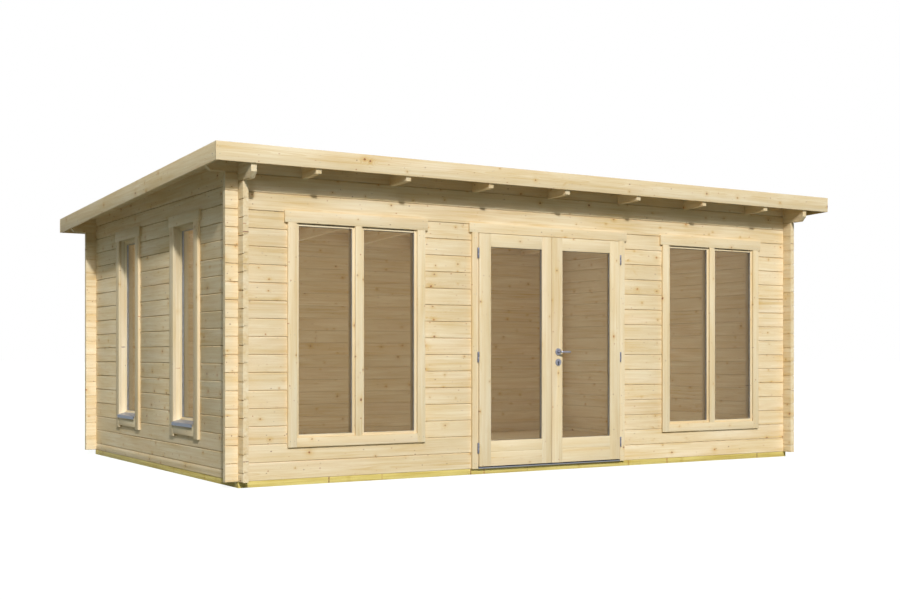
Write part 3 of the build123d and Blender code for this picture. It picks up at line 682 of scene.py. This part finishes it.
def prismMesh(section, along, start, end):
    # A straight bar along one axis, with a section given on the two other axes in their order
    others = [axis for axis in range(3) if axis != along]
    shape = bmesh.new()
    rings = []
    for place in (start, end):
        ring = []
        for first, second in section:
            corner = [place, place, place]
            corner[others[0]], corner[others[1]] = first, second
            ring.append(shape.verts.new(corner))
        rings.append(ring)
        shape.faces.new(ring)
    for n in range(len(section)):
        m = (n + 1) % len(section)
        shape.faces.new((rings[0][n], rings[0][m], rings[1][m], rings[1][n]))
    bmesh.ops.recalc_face_normals(shape, faces=shape.faces)
    return meshOf(shape, "cutter")


def cutOut(source, cutterMesh):
    # The share of a piece inside a closed mesh, as a plain mesh
    cutter = meshObject("cutter", cutterMesh)
    cut = source.modifiers.new("cut", "BOOLEAN")
    cut.operation = "INTERSECT"
    cut.solver = "EXACT"
    cut.object = cutter
    graph = bpy.context.evaluated_depsgraph_get()
    mesh = bpy.data.meshes.new_from_object(source.evaluated_get(graph))
    source.modifiers.remove(cut)
    removeObject(cutter)
    return mesh


def islandsOf(shape):
    # Groups of vertices that faces join
    left = set(shape.verts)
    groups = []
    while left:
        group, todo = set(), [left.pop()]
        while todo:
            vertex = todo.pop()
            group.add(vertex)
            for edge in vertex.link_edges:
                other = edge.other_vert(vertex)
                if other in left:
                    left.discard(other)
                    todo.append(other)
        groups.append(sorted(group, key=lambda v: v.index))
    return sorted(groups, key=lambda g: g[0].index)


def riseOf(edge):
    return abs(edge.verts[0].co.z - edge.verts[1].co.z)


def easeEdges(shape, ease, uprightOnly=False):
    # The flat faces are joined first, so that a boolean's cuts across them aren't eased
    mergeDoubles(shape)
    flat = math.radians(boardCut["flatDegrees"])
    bmesh.ops.dissolve_limit(shape, angle_limit=flat, verts=shape.verts, edges=shape.edges)
    sharp = math.radians(boardCut["sharpDegrees"])
    edges = [e for e in shape.edges if len(e.link_faces) == 2 and e.calc_face_angle(0.0) > sharp]
    if uprightOnly:
        share, shortest = boardCut["uprightShare"], boardCut["shortestUpright"]
        edges = [e for e in edges if riseOf(e) > share * e.calc_length() > shortest]
    bmesh.ops.bevel(
        shape,
        geom=edges,
        offset=ease,
        segments=boardCut["easeSegments"],
        profile=0.5,
        affect="EDGES",
        clamp_overlap=True,
    )


def finishPiece(name, mesh, material, body, nodeName=None):
    mesh.materials.clear()
    mesh.materials.append(material)
    for polygon in mesh.polygons:
        polygon.material_index = 0
        polygon.use_smooth = True
    mesh.set_sharp_from_angle(angle=math.radians(boardCut["crispDegrees"]))
    piece = meshObject(name, mesh)
    if nodeName:
        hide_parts(nodeName)
    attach(piece, body)


def cutBoards(nodeName, boards, newName, body, material, ease=None, uprightOnly=False):
    # boards holds (cutter, axis of the grain, axis of the thickness) for each board
    source = cadCopy(nodeName)
    whole = bmesh.new()
    whole.verts.layers.float_vector.new("grain")
    whole.verts.layers.float.new("board")
    for cutter, along, through in boards:
        mesh = cutOut(source, cutter)
        shape = shapeOf(mesh)
        bpy.data.meshes.remove(mesh)
        if not shape.verts:
            shape.free()
            continue
        easeEdges(shape, ease or boardCut["ease"], uprightOnly)
        shape.verts.index_update()
        across = 3 - along - through
        newGrain = shape.verts.layers.float_vector.new("grain")
        newBoard = shape.verts.layers.float.new("board")
        for group in islandsOf(shape):
            seed = boardRandom.random()
            start = boardRandom.uniform(-1.0, 1.0) * boardCut["shiftAlong"]
            middle = [(min(v.co[i] for v in group) + max(v.co[i] for v in group)) / 2 for i in range(3)]
            for vertex in group:
                place = vertex.co
                vertex[newGrain] = (
                    place[along] + start,
                    place[across] - middle[across],
                    place[through] - middle[through],
                )
                vertex[newBoard] = seed
        mesh = meshOf(shape, "board")
        whole.from_mesh(mesh)
        bpy.data.meshes.remove(mesh)
    removeObject(source)
    finishPiece(newName, meshOf(whole, newName), material, body, nodeName)


def wholeBox(nodeName):
    low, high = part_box(nodeName)
    margin = Vector((boardCut["margin"],) * 3)
    return list(low - margin), list(high + margin)


# Walls: one log to a course, the side walls half a course up. A double tongue on each log
# fits a double groove in the next, and shows as a wavy line on the crossed ends
logs = {
    "course": 0.135,
    "base": 0.048,
    "backCourses": 17,
    "gap": 0.003,
    "innerGap": 0.0006,
    "topChamfer": 0.0065,
    "tongueRise": 0.0085,
    "tongueClearance": 0.0025,
    "tongueShares": (
        (0.18, 0.0),
        (0.26, 1.0),
        (0.38, 1.0),
        (0.46, 0.1),
        (0.54, 0.1),
        (0.62, 1.0),
        (0.74, 1.0),
        (0.82, 0.0),
    ),
}


def flatLine(near, far, level):
    margin = boardCut["margin"]
    return [(near - margin, level), (far + margin, level)]


def jointLine(outer, inner, level, side):
    # The joint over a log (side -1) or under it (side 1), from the outer face of the wall
    # to the inner one: wider outside, with a chamfer on the top edge of the lower log
    margin, gap, innerGap = boardCut["margin"], logs["gap"], logs["innerGap"]
    inwards = 1 if inner > outer else -1
    chamfer = logs["topChamfer"] if side < 0 else 0.0
    drop = chamfer + margin if side < 0 else 0.0
    start = level + side * gap / 2
    points = [(outer - inwards * margin, start - drop), (outer + inwards * chamfer, start)]
    rise = logs["tongueRise"] + (logs["tongueClearance"] if side > 0 else 0.0)
    for share, part in logs["tongueShares"]:
        half = (gap if share < 0.5 else innerGap) / 2
        points.append((outer + share * (inner - outer), level + side * half + part * rise))
    points.append((inner + inwards * margin, level + side * innerGap / 2))
    return points


def logCutters(nodeName, levels, along, outside, openTop=False):
    # A tongued log between each level and the next; an open top meets another wall piece
    low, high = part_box(nodeName)
    through = 1 - along
    margin = boardCut["margin"]
    outer, inner = (low[through], high[through]) if outside == "low" else (high[through], low[through])
    boards = []
    for n, (bottom, top) in enumerate(zip(levels, levels[1:])):
        under = jointLine(outer, inner, bottom, 1)
        over = jointLine(outer, inner, top, -1)
        if n == 0:
            under = flatLine(low[through], high[through], low[2] - margin)
            if outside == "high":
                under.reverse()
        if n == len(levels) - 2:
            level = high[2] - logs["gap"] if openTop else high[2] + margin
            over = flatLine(low[through], high[through], level)
            if outside == "high":
                over.reverse()
        cutter = prismMesh(under + over[::-1], along, low[along] - margin, high[along] + margin)
        boards.append((cutter, along, through))
    return boards


def cutLogs(nodeName, boards):
    cutBoards(nodeName, boards, nodeName + "_logs", "building", woods["logs"], uprightOnly=True)


def makeWalls():
    course, base = logs["course"], logs["base"]
    for nodeName in ("front_wall_left", "front_wall_right", "front_wall_top", "back_wall"):
        low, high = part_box(nodeName)
        first = round((low[2] - base) / course)
        last = math.ceil((high[2] - base) / course - 0.01)
        levels = [base + n * course for n in range(first, last + 1)]
        outside = "high" if nodeName == "back_wall" else "low"
        openTop = nodeName in ("front_wall_left", "front_wall_right")
        cutLogs(nodeName, logCutters(nodeName, levels, 0, outside, openTop))
    for nodeName, outside in (("left_wall", "low"), ("right_wall", "high")):
        levels = [base] + [base + (n + 0.5) * course for n in range(logs["backCourses"])]
        levels.append(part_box(nodeName)[1][2] + boardCut["margin"])
        cutLogs(nodeName, logCutters(nodeName, levels, 1, outside))


makeWalls()
print("walls made of logs")

# Beams, rafters, fascias and floor: the fascia faces lie back by the height of the nail heads
deck = {"fasciaPlaned": 0.0006, "floorBoard": 0.121, "floorEase": 0.0018}


def singleBoards(nodeName, along, through, material):
    # A piece whose solids are whole boards already
    boards = [(boxMesh(*wholeBox(nodeName)), along, through)]
    cutBoards(nodeName, boards, nodeName + "_boards", "building", material)


def fasciaBoards(nodeName, along, planed):
    low, high = wholeBox(nodeName)
    through = 1 - along
    depth = boardCut["margin"] + deck["fasciaPlaned"]
    if "low" in planed:
        low[through] += depth
    if "high" in planed:
        high[through] -= depth
    boards = [(boxMesh(low, high), along, through)]
    cutBoards(nodeName, boards, nodeName + "_boards", "building", woods["boards"])


def stripedBoards(nodeName, width, along, through, material, ease):
    # A slab cut into boards of one width, side by side
    across = 3 - along - through
    low, high = wholeBox(nodeName)
    count = math.ceil((high[across] - low[across]) / width)
    boards = []
    for n in range(count):
        boxLow, boxHigh = list(low), list(high)
        boxLow[across] = high[across] - (n + 1) * width
        boxHigh[across] = high[across] - n * width
        boards.append((boxMesh(boxLow, boxHigh), along, through))
    cutBoards(nodeName, boards, nodeName + "_boards", "building", material, ease)


for nodeName, along, through, wood, slotName in (
    ("foundation_long_beams", 0, 2, "treated", "treated_wood"),
    ("foundation_short_beams", 1, 2, "treated", "treated_wood"),
    ("floor_joists", 1, 0, "treated", "treated_wood"),
    ("rafters", 1, 0, "boards", "board_wood"),
):
    singleBoards(nodeName, along, through, woods[wood])
for nodeName, along, planed in (
    ("fascia_front", 0, ("low",)),
    ("fascia_back", 0, ("high",)),
    ("fascia_sides", 1, ("low", "high")),
):
    fasciaBoards(nodeName, along, planed)
stripedBoards("floor_boards", deck["floorBoard"], 0, 2, woods["boards"], deck["floorEase"])
print("beams, rafters, fascias and floor made")


def flatBox(across, spans):
    # A cutter from spans (low, high) across, up and through; across is the X or the Y axis
    acrossSpan, upSpan, throughSpan = spans
    low, high = [0.0, 0.0, upSpan[0]], [0.0, 0.0, upSpan[1]]
    low[across], high[across] = acrossSpan
    low[1 - across], high[1 - across] = throughSpan
    return boxMesh(low, high)


def ringBoards(across, middle, depth, ring, headOver=False):
    # Uprights that run down to the foot, with the head, the foot rail and a mullion between them
    margin = boardCut["margin"]
    through = 1 - across
    outer, inner = ring["outerHalf"] + margin, ring["innerHalf"]
    foot, head = ring["foot"] - margin, ring["head"] + margin
    boards = []
    for sign in (-1, 1):
        span = sorted((middle + sign * inner, middle + sign * outer))
        uprightTop = ring["high"] if headOver else head
        boards.append((flatBox(across, (span, (foot, uprightTop), depth)), 2, through))
    headHalf = ring["headHalf"] + margin if headOver else inner
    span = (middle - headHalf, middle + headHalf)
    boards.append((flatBox(across, (span, (ring["high"], head), depth)), across, through))
    if ring["low"] > ring["foot"]:
        span = (middle - inner, middle + inner)
        boards.append((flatBox(across, (span, (foot, ring["low"]), depth)), across, through))
    if "mullionHalf" in ring:
        span = (middle - ring["mullionHalf"], middle + ring["mullionHalf"])
        boards.append((flatBox(across, (span, (ring["low"], ring["high"]), depth)), 2, through))
    return boards


# Openings: where the boards of each frame and trim meet, in metres
frontWindow = {
    "middle": 1.854,
    "headGroove": {"level": 1.9826, "depth": -1.878},
    "outerTrimDepth": (-1.95, -1.88),
    "innerTrimDepth": (-1.87, -1.82),
    "frameDepth": (-1.95, -1.82),
    "trim": {
        "outerHalf": 0.6,
        "innerHalf": 0.528,
        "foot": 0.288,
        "low": 0.36,
        "high": 1.994,
        "head": 2.085,
        "headHalf": 0.626,
        "mullionHalf": 0.0295,
    },
    "innerTrim": {
        "outerHalf": 0.625,
        "innerHalf": 0.565,
        "foot": 0.258,
        "low": 0.318,
        "high": 2.073,
        "head": 2.133,
    },
    "frame": {
        "outerHalf": 0.565,
        "innerHalf": 0.506,
        "foot": 0.318,
        "low": 0.382,
        "high": 1.972,
        "head": 2.073,
        "mullionHalf": 0.0515,
    },
}
sideWindow = {
    "middle": 0.765,
    "outerTrimDepth": (-2.9, -2.83),
    "innerTrimDepth": (-2.82, -2.77),
    "frameDepth": (-2.9, -2.72),
    "trim": {
        "outerHalf": 0.336,
        "innerHalf": 0.244,
        "foot": 0.316,
        "low": 0.434,
        "high": 2.058,
        "head": 2.149,
        "headHalf": 0.362,
    },
    "innerTrim": {
        "outerHalf": 0.35,
        "innerHalf": 0.29,
        "foot": 0.3255,
        "low": 0.3855,
        "high": 2.1405,
        "head": 2.2005,
    },
    "frame": {
        "outerHalf": 0.29,
        "innerHalf": 0.224,
        "foot": 0.3855,
        "low": 0.473,
        "high": 2.024,
        "head": 2.1405,
    },
}
doorway = {
    "outerTrimDepth": (-1.95, -1.88),
    "innerTrimDepth": (-1.87, -1.82),
    "frameDepth": (-1.95, -1.82),
    "leafDepth": (-1.97, -1.86),
    "trim": {
        "outerHalf": 0.804,
        "innerHalf": 0.747,
        "foot": 0.048,
        "low": 0.0,
        "high": 2.004,
        "head": 2.082,
        "headHalf": 0.83,
    },
    "innerTrim": {
        "outerHalf": 0.835,
        "innerHalf": 0.775,
        "foot": 0.076,
        "low": 0.0,
        "high": 2.073,
        "head": 2.133,
    },
    "frame": {
        "outerHalf": 0.775,
        "innerHalf": 0.727,
        "foot": 0.048,
        "low": 0.0,
        "high": 1.984,
        "head": 2.073,
    },
    "leafFoot": 0.066,
    "railJoint": 0.183,
    "lightLow": 0.276,
    "lightHigh": 1.889,
    "leafHead": 1.999,
    # Start and end of the two stiles of each leaf
    "stiles": {"left": (-0.742, -0.629, -0.10725, -0.00925), "right": (-0.00275, 0.10725, 0.629, 0.742)},
}
joineryCut = {"ease": 0.001}


def cutJoinery(nodeName, boards, body="building"):
    newName = nodeName + "_boards"
    cutBoards(nodeName, boards, newName, body, woods["joinery"], joineryCut["ease"])


def groovedHead(window, middle):
    # The head of a frame stands back under the trim, which leaves a dark line there
    margin = boardCut["margin"]
    groove, ring = window["headGroove"], window["frame"]
    front, back = window["frameDepth"]
    section = (
        (front, ring["high"]),
        (front, groove["level"]),
        (groove["depth"], groove["level"]),
        (groove["depth"], ring["head"] + margin),
        (back, ring["head"] + margin),
        (back, ring["high"]),
    )
    return prismMesh(section, 0, middle - ring["innerHalf"], middle + ring["innerHalf"])


def makeFrameAndTrim(prefix, opening, across, middle):
    boards = ringBoards(across, middle, opening["outerTrimDepth"], opening["trim"], headOver=True)
    boards += ringBoards(across, middle, opening["innerTrimDepth"], opening["innerTrim"])
    cutJoinery(prefix + "_trim", boards)
    boards = ringBoards(across, middle, opening["frameDepth"], opening["frame"])
    if "headGroove" in opening:
        boards[2] = (groovedHead(opening, middle), across, 1 - across)
    cutJoinery(prefix + "_frame", boards)


def makeLeaves():
    margin = boardCut["margin"]
    foot, head = doorway["leafFoot"] - margin, doorway["leafHead"] + margin
    rails = (
        (foot, doorway["railJoint"]),
        (doorway["railJoint"], doorway["lightLow"]),
        (doorway["lightHigh"], head),
    )
    for side, (start, startStile, endStile, end) in doorway["stiles"].items():
        boards = []
        for span in ((start - margin, startStile), (endStile, end + margin)):
            boards.append((flatBox(0, (span, (foot, head), doorway["leafDepth"])), 2, 1))
        for railSpan in rails:
            boards.append((flatBox(0, ((startStile, endStile), railSpan, doorway["leafDepth"])), 0, 1))
        cutJoinery(f"{side}_door_leaf", boards, f"{side}_leaf")


makeFrameAndTrim("left_front_window", frontWindow, 0, -frontWindow["middle"])
makeFrameAndTrim("right_front_window", frontWindow, 0, frontWindow["middle"])
makeFrameAndTrim("near_side_window", sideWindow, 1, -sideWindow["middle"])
makeFrameAndTrim("far_side_window", sideWindow, 1, sideWindow["middle"])
makeFrameAndTrim("door", doorway, 0, 0.0)
makeLeaves()
print("windows and doors made of boards")

# Metal: the CAD shapes with their edges eased
metalCut = {"ease": 0.0008, "roseEase": 0.002}


def softMetal(nodeName, material, body, ease):
    source = cadCopy(nodeName)
    shape = shapeOf(source.data)
    removeObject(source)
    easeEdges(shape, ease)
    newName = nodeName + "_eased"
    finishPiece(newName, meshOf(shape, newName), material, body, nodeName)


for nodeName, finish, slotName, body, ease in (
    ("handle_roses", "handle", "handle_steel", "right_leaf", "roseEase"),
    ("lock_escutcheons", "handle", "handle_steel", "right_leaf", "roseEase"),
    ("door_handle", "handle", "handle_steel", "handle", "ease"),
    ("lock_cylinder", "cylinder", "cylinder_metal", "right_leaf", "ease"),
    ("frame_hinges", "hinge", "hinge_steel", "building", "ease"),
    ("left_door_hinges", "hinge", "hinge_steel", "left_leaf", "ease"),
    ("right_door_hinges", "hinge", "hinge_steel", "right_leaf", "ease"),
    ("door_threshold", "threshold", "sheet_metal", "building", "ease"),
):
    softMetal(nodeName, metals[finish], body, metalCut[ease])
print("metal pieces made")


# Geometry Nodes: trees with named inputs make what repeats
def newTree(name, inputs):
    tree = bpy.data.node_groups.new(name, "GeometryNodeTree")
    for socketName, socketType, value in inputs:
        made = tree.interface.new_socket(socketName, in_out="INPUT", socket_type=socketType)
        if value is not None:
            made.default_value = value
    tree.interface.new_socket("Geometry", in_out="OUTPUT", socket_type="NodeSocketGeometry")
    return tree, tree.nodes.new("NodeGroupInput").outputs


def closeTree(tree, geometry, material):
    # Instances are made real and get their finish
    real = addNode(tree, "GeometryNodeRealizeInstances", {0: geometry}).outputs[0]
    dressed = addNode(tree, "GeometryNodeSetMaterial", {"Geometry": real, "Material": material}).outputs[0]
    addNode(tree, "NodeGroupOutput", {0: dressed})


def makeWithNodes(name, tree, values, body, nodeName=None, points=(), facings=()):
    seedMesh = bpy.data.meshes.new(name + "Seed")
    seedMesh.from_pydata([tuple(point) for point in points], [], [])
    if facings:
        layer = seedMesh.attributes.new("facing", "FLOAT_VECTOR", "POINT")
        layer.data.foreach_set("vector", [part for facing in facings for part in facing])
    seed = meshObject(name + "Seed", seedMesh)
    modifier = seed.modifiers.new("build", "NODES")
    modifier.node_group = tree
    for item in tree.interface.items_tree:
        if item.item_type == "SOCKET" and item.in_out == "INPUT" and item.name in values:
            modifier[item.identifier] = values[item.name]
    graph = bpy.context.evaluated_depsgraph_get()
    mesh = bpy.data.meshes.new_from_object(seed.evaluated_get(graph))
    seed.modifiers.remove(modifier)
    removeObject(seed)
    finishPiece(name, mesh, values["Material"], body, nodeName)


def setAttribute(tree, geometry, name, kind, domain, value):
    inputs = {"Geometry": geometry, "Name": name, "Value": value}
    return addNode(tree, "GeometryNodeStoreNamedAttribute", inputs, data_type=kind, domain=domain).outputs[0]


def getAttribute(tree, name, kind):
    return addNode(tree, "GeometryNodeInputNamedAttribute", {"Name": name}, data_type=kind).outputs[0]


def rectangle(tree, width, height):
    inputs = {"Width": width, "Height": height}
    return addNode(tree, "GeometryNodeCurvePrimitiveQuadrilateral", inputs).outputs[0]


def onPoints(tree, points, instance, rotation):
    inputs = {"Points": points, "Instance": instance, "Rotation": rotation}
    return addNode(tree, "GeometryNodeInstanceOnPoints", inputs).outputs[0]


def deckTree():
    # Boards side by side along X, each with eased edges and a grain of its own
    tree, given = newTree(
        "boardDeck",
        (
            ("Count", "NodeSocketInt", 10),
            ("Length", "NodeSocketFloat", 1.0),
            ("Width", "NodeSocketFloat", 0.1),
            ("Thickness", "NodeSocketFloat", 0.02),
            ("Edge", "NodeSocketFloat", 0.002),
            ("Start", "NodeSocketVector", None),
            ("Step", "NodeSocketVector", None),
            ("Turn", "NodeSocketVector", None),
            ("Seed", "NodeSocketInt", 3),
            ("Material", "NodeSocketMaterial", None),
        ),
    )
    outline = rectangle(tree, given["Width"], given["Thickness"])
    inputs = {"Curve": outline, "Count": 1, "Radius": given["Edge"], "Limit Radius": True}
    eased = addNode(tree, "GeometryNodeFilletCurve", inputs, mode="POLY")
    ends = []
    for share in (-0.5, 0.5):
        place = doMath(tree, "MULTIPLY", given["Length"], share)
        ends.append(addNode(tree, "ShaderNodeCombineXYZ", {0: place}).outputs[0])
    line = addNode(tree, "GeometryNodeCurvePrimitiveLine", {"Start": ends[0], "End": ends[1]}, mode="POINTS")
    inputs = {"Curve": line.outputs[0], "Profile Curve": eased.outputs[0], "Fill Caps": True}
    board = addNode(tree, "GeometryNodeCurveToMesh", inputs).outputs[0]
    place = tree.nodes.new("GeometryNodeInputPosition").outputs[0]
    board = setAttribute(tree, board, "grain", "FLOAT_VECTOR", "POINT", place)
    inputs = {"Count": given["Count"], "Start Location": given["Start"], "Offset": given["Step"]}
    row = addNode(tree, "GeometryNodeMeshLine", inputs, mode="OFFSET").outputs[0]
    boards = onPoints(tree, row, board, given["Turn"])
    index = tree.nodes.new("GeometryNodeInputIndex").outputs[0]
    inputs = {7: index, 8: given["Seed"]}
    chance = addNode(tree, "FunctionNodeRandomValue", inputs, data_type="FLOAT").outputs[1]
    boards = setAttribute(tree, boards, "board", "FLOAT", "INSTANCE", chance)
    real = addNode(tree, "GeometryNodeRealizeInstances", {0: boards}).outputs[0]
    drawn = getAttribute(tree, "board", "FLOAT")
    far = doMath(tree, "MULTIPLY", drawn, boardCut["shiftAlong"])
    along = addNode(tree, "ShaderNodeCombineXYZ", {0: far}).outputs[0]
    moved = doVector(tree, "ADD", getAttribute(tree, "grain", "FLOAT_VECTOR"), along)
    real = setAttribute(tree, real, "grain", "FLOAT_VECTOR", "POINT", moved)
    closeTree(tree, real, given["Material"])
    return tree


def nailTree():
    # A low round head on each point, turned to the way it faces
    tree, given = newTree(
        "nailHeads",
        (
            ("Points", "NodeSocketGeometry", None),
            ("Radius", "NodeSocketFloat", 0.002),
            ("Top Share", "NodeSocketFloat", 0.7),
            ("Rise", "NodeSocketFloat", 0.0006),
            ("Sides", "NodeSocketInt", 12),
            ("Material", "NodeSocketMaterial", None),
        ),
    )
    inputs = {
        "Vertices": given["Sides"],
        "Radius Bottom": given["Radius"],
        "Radius Top": doMath(tree, "MULTIPLY", given["Radius"], given["Top Share"]),
        "Depth": given["Rise"],
    }
    head = addNode(tree, "GeometryNodeMeshCone", inputs, fill_type="TRIANGLE_FAN").outputs[0]
    facing = getAttribute(tree, "facing", "FLOAT_VECTOR")
    turn = addNode(tree, "FunctionNodeAlignRotationToVector", {"Vector": facing}, axis="Z").outputs[0]
    closeTree(tree, onPoints(tree, given["Points"], head, turn), given["Material"])
    return tree


def sealTree():
    # A soft strip round each light, on the points that mark the middles of the panes
    tree, given = newTree(
        "glazingSeals",
        (
            ("Points", "NodeSocketGeometry", None),
            ("Width", "NodeSocketFloat", 0.4),
            ("Height", "NodeSocketFloat", 1.5),
            ("Radius", "NodeSocketFloat", 0.002),
            ("Sides", "NodeSocketInt", 8),
            ("Turn", "NodeSocketVector", None),
            ("Material", "NodeSocketMaterial", None),
        ),
    )
    inputs = {"Resolution": given["Sides"], "Radius": given["Radius"]}
    section = addNode(tree, "GeometryNodeCurvePrimitiveCircle", inputs, mode="RADIUS").outputs[0]
    inputs = {"Curve": rectangle(tree, given["Width"], given["Height"]), "Profile Curve": section}
    strip = addNode(tree, "GeometryNodeCurveToMesh", inputs).outputs[0]
    closeTree(tree, onPoints(tree, given["Points"], strip, given["Turn"]), given["Material"])
    return tree


# Roof: boards across the rafters, felt strips that lap down the slope
roof = {
    "boardWidth": 0.112,
    "boardEdge": 0.0028,
    "boardThickness": 0.019,
    "stripPitch": 0.93,
    "stripLap": 0.08,
    "stripThickness": 0.0013,
    "endGap": 0.0005,
    "boardSeed": 3,
    "stripSeed": 5,
}


def makeRoof():
    tree = deckTree()
    low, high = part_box("roof_boards")
    run = high[1] - low[1]
    drop = high[2] - low[2] - roof["boardThickness"]
    turn = -math.atan2(drop, run)
    count = round(run / roof["boardWidth"])
    pitch = run / count
    top = high[2] - roof["boardThickness"] / 2 - drop / run * pitch / 2
    values = {
        "Count": count,
        "Length": high[0] - low[0] - 2 * roof["endGap"],
        "Width": pitch - roof["endGap"],
        "Thickness": roof["boardThickness"],
        "Edge": roof["boardEdge"],
        "Start": (0.0, low[1] + pitch / 2, top),
        "Step": (0.0, pitch, -drop / run * pitch),
        "Turn": (turn, 0.0, 0.0),
        "Seed": roof["boardSeed"],
        "Material": woods["boards"],
    }
    makeWithNodes("roof_boards_deck", tree, values, "building", "roof_boards")
    feltLow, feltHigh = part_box("roof_felt")
    strips = math.ceil((run - roof["stripLap"]) / roof["stripPitch"])
    pitch = (run - roof["stripLap"]) / strips
    width = pitch + roof["stripLap"] - roof["endGap"]
    feltThickness = feltHigh[2] - feltLow[2] - drop
    middle = feltHigh[2] - feltThickness / 2 - drop / run * width / 2
    values = {
        "Count": strips,
        "Length": feltHigh[0] - feltLow[0] - 2 * roof["endGap"],
        "Width": width,
        "Thickness": roof["stripThickness"],
        "Edge": roof["endGap"],
        "Start": (0.0, feltLow[1] + width / 2, middle),
        "Step": (0.0, pitch, -drop / run * pitch),
        "Turn": (turn + roof["stripThickness"] / pitch, 0.0, 0.0),
        "Seed": roof["stripSeed"],
        "Material": felt,
    }
    makeWithNodes("roof_felt_strips", tree, values, "building", "roof_felt")


makeRoof()
print("roof boards and felt made")

# Seals: a thin strip where each pane meets its bead, outside and inside
seals = {"radius": 0.0022, "inset": 0.0008, "beadCover": 0.008, "sides": 8}


def glassLights(nodeName, across):
    # The middle, width and height of each light of a glazed piece, and its two faces
    shape = shapeOf(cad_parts[nodeName].data)
    mergeDoubles(shape)
    shape.verts.index_update()
    boxes = []
    for group in islandsOf(shape):
        low = [min(v.co[i] for v in group) for i in range(3)]
        high = [max(v.co[i] for v in group) for i in range(3)]
        boxes.append((low, high))
    shape.free()
    lights = {}
    for low, high in boxes:
        key = round((low[across] + high[across]) / 2, 3)
        kept = lights.setdefault(key, [list(low), list(high)])
        kept[0] = [min(a, b) for a, b in zip(kept[0], low)]
        kept[1] = [max(a, b) for a, b in zip(kept[1], high)]
    return [lights[key] for key in sorted(lights)]


def makeSeals():
    tree = sealTree()
    for prefix, across, body in (
        ("left_front_window", 0, "building"),
        ("right_front_window", 0, "building"),
        ("near_side_window", 1, "building"),
        ("far_side_window", 1, "building"),
        ("left_door", 0, "left_leaf"),
        ("right_door", 0, "right_leaf"),
    ):
        through = 1 - across
        lights = glassLights(prefix + "_glass", across)
        low, high = lights[0]
        points = []
        for lightLow, lightHigh in lights:
            for face in (lightLow[through] - seals["inset"], lightHigh[through] + seals["inset"]):
                middle = [(lightLow[i] + lightHigh[i]) / 2 for i in range(3)]
                middle[through] = face
                points.append(middle)
        inset = 2 * (seals["beadCover"] + seals["inset"])
        values = {
            "Width": high[across] - low[across] - inset,
            "Height": high[2] - low[2] - inset,
            "Radius": seals["radius"],
            "Sides": seals["sides"],
            "Turn": (math.radians(90.0), 0.0, math.radians(90.0) if across == 1 else 0.0),
            "Material": sealRubber,
        }
        makeWithNodes(prefix + "_seals", tree, values, body, points=points)


makeSeals()
print("seals made")

# Nails: pairs through the fascias at each rafter, and along the trim boards
nails = {
    "radius": 0.0022,
    "topShare": 0.7,
    "rise": 0.0005,
    "sides": 12,
    "rafterHalf": 0.022,
    "rafterBays": 6,
    "fasciaEnd": 0.03,
    "fasciaRows": (0.045, 0.04),
    "sideHeight": 0.136,
    "sideEnd": 0.05,
    "sidePitch": 0.6,
    "sideRows": (0.04, 0.095),
    "trimPitch": 0.42,
    "fromEnd": 0.045,
    "fromEdge": 0.018,
}


def rowOf(start, end, pitch):
    count = max(1, round((end - start) / pitch))
    return [start + (end - start) * n / count for n in range(count + 1)]


def makeNails():
    tree = nailTree()
    points, facings = [], []

    def add(point, facing):
        points.append(point)
        facings.append(facing)

    planed, half, fasciaEnd = deck["fasciaPlaned"], nails["rafterHalf"], nails["fasciaEnd"]
    low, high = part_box("rafters")
    rafterXs = rowOf(low[0] + half, high[0] - half, (high[0] - low[0]) / nails["rafterBays"])
    for nodeName, sign in (("fascia_front", -1), ("fascia_back", 1)):
        low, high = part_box(nodeName)
        face = low[1] + planed if sign < 0 else high[1] - planed
        for x in [low[0] + fasciaEnd] + rafterXs + [high[0] - fasciaEnd]:
            for z in (low[2] + nails["fasciaRows"][0], high[2] - nails["fasciaRows"][1]):
                add((x, face, z), (0.0, sign, 0.0))
    low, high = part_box("fascia_sides")
    slope = (high[2] - low[2] - nails["sideHeight"]) / (high[1] - low[1])
    for x, sign in ((low[0] + planed, -1), (high[0] - planed, 1)):
        for y in rowOf(low[1] + nails["sideEnd"], high[1] - nails["sideEnd"], nails["sidePitch"]):
            for drop in nails["sideRows"]:
                add((x, y, high[2] - slope * (y - low[1]) - drop), (sign, 0.0, 0.0))
    edge, fromEnd = nails["fromEdge"], nails["fromEnd"]

    def trimNails(across, middle, ring, face):
        facing = [0.0, 0.0, 0.0]
        facing[1 - across] = -1.0

        def put(place, z):
            point = [0.0, 0.0, z]
            point[across], point[1 - across] = place, face
            add(point, facing)

        for side in (-1, 1):
            for half in (ring["outerHalf"] - edge, ring["innerHalf"] + edge):
                for z in rowOf(ring["foot"] + fromEnd, ring["high"] - fromEnd, nails["trimPitch"]):
                    put(middle + side * half, z)
        for z in (ring["high"] + edge, ring["head"] - edge):
            for place in rowOf(-ring["headHalf"] + fromEnd, ring["headHalf"] - fromEnd, nails["trimPitch"]):
                put(middle + place, z)

    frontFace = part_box("left_front_window_trim")[0][1]
    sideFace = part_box("near_side_window_trim")[0][0]
    for sign in (-1, 1):
        trimNails(0, sign * frontWindow["middle"], frontWindow["trim"], frontFace)
        trimNails(1, sign * sideWindow["middle"], sideWindow["trim"], sideFace)
    trimNails(0, 0.0, doorway["trim"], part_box("door_trim")[0][1])
    values = {
        "Radius": nails["radius"],
        "Top Share": nails["topShare"],
        "Rise": nails["rise"],
        "Sides": nails["sides"],
        "Material": metals["nail"],
    }
    makeWithNodes("nail_heads", tree, values, "building", points=points, facings=facings)


makeNails()
print("nails made")
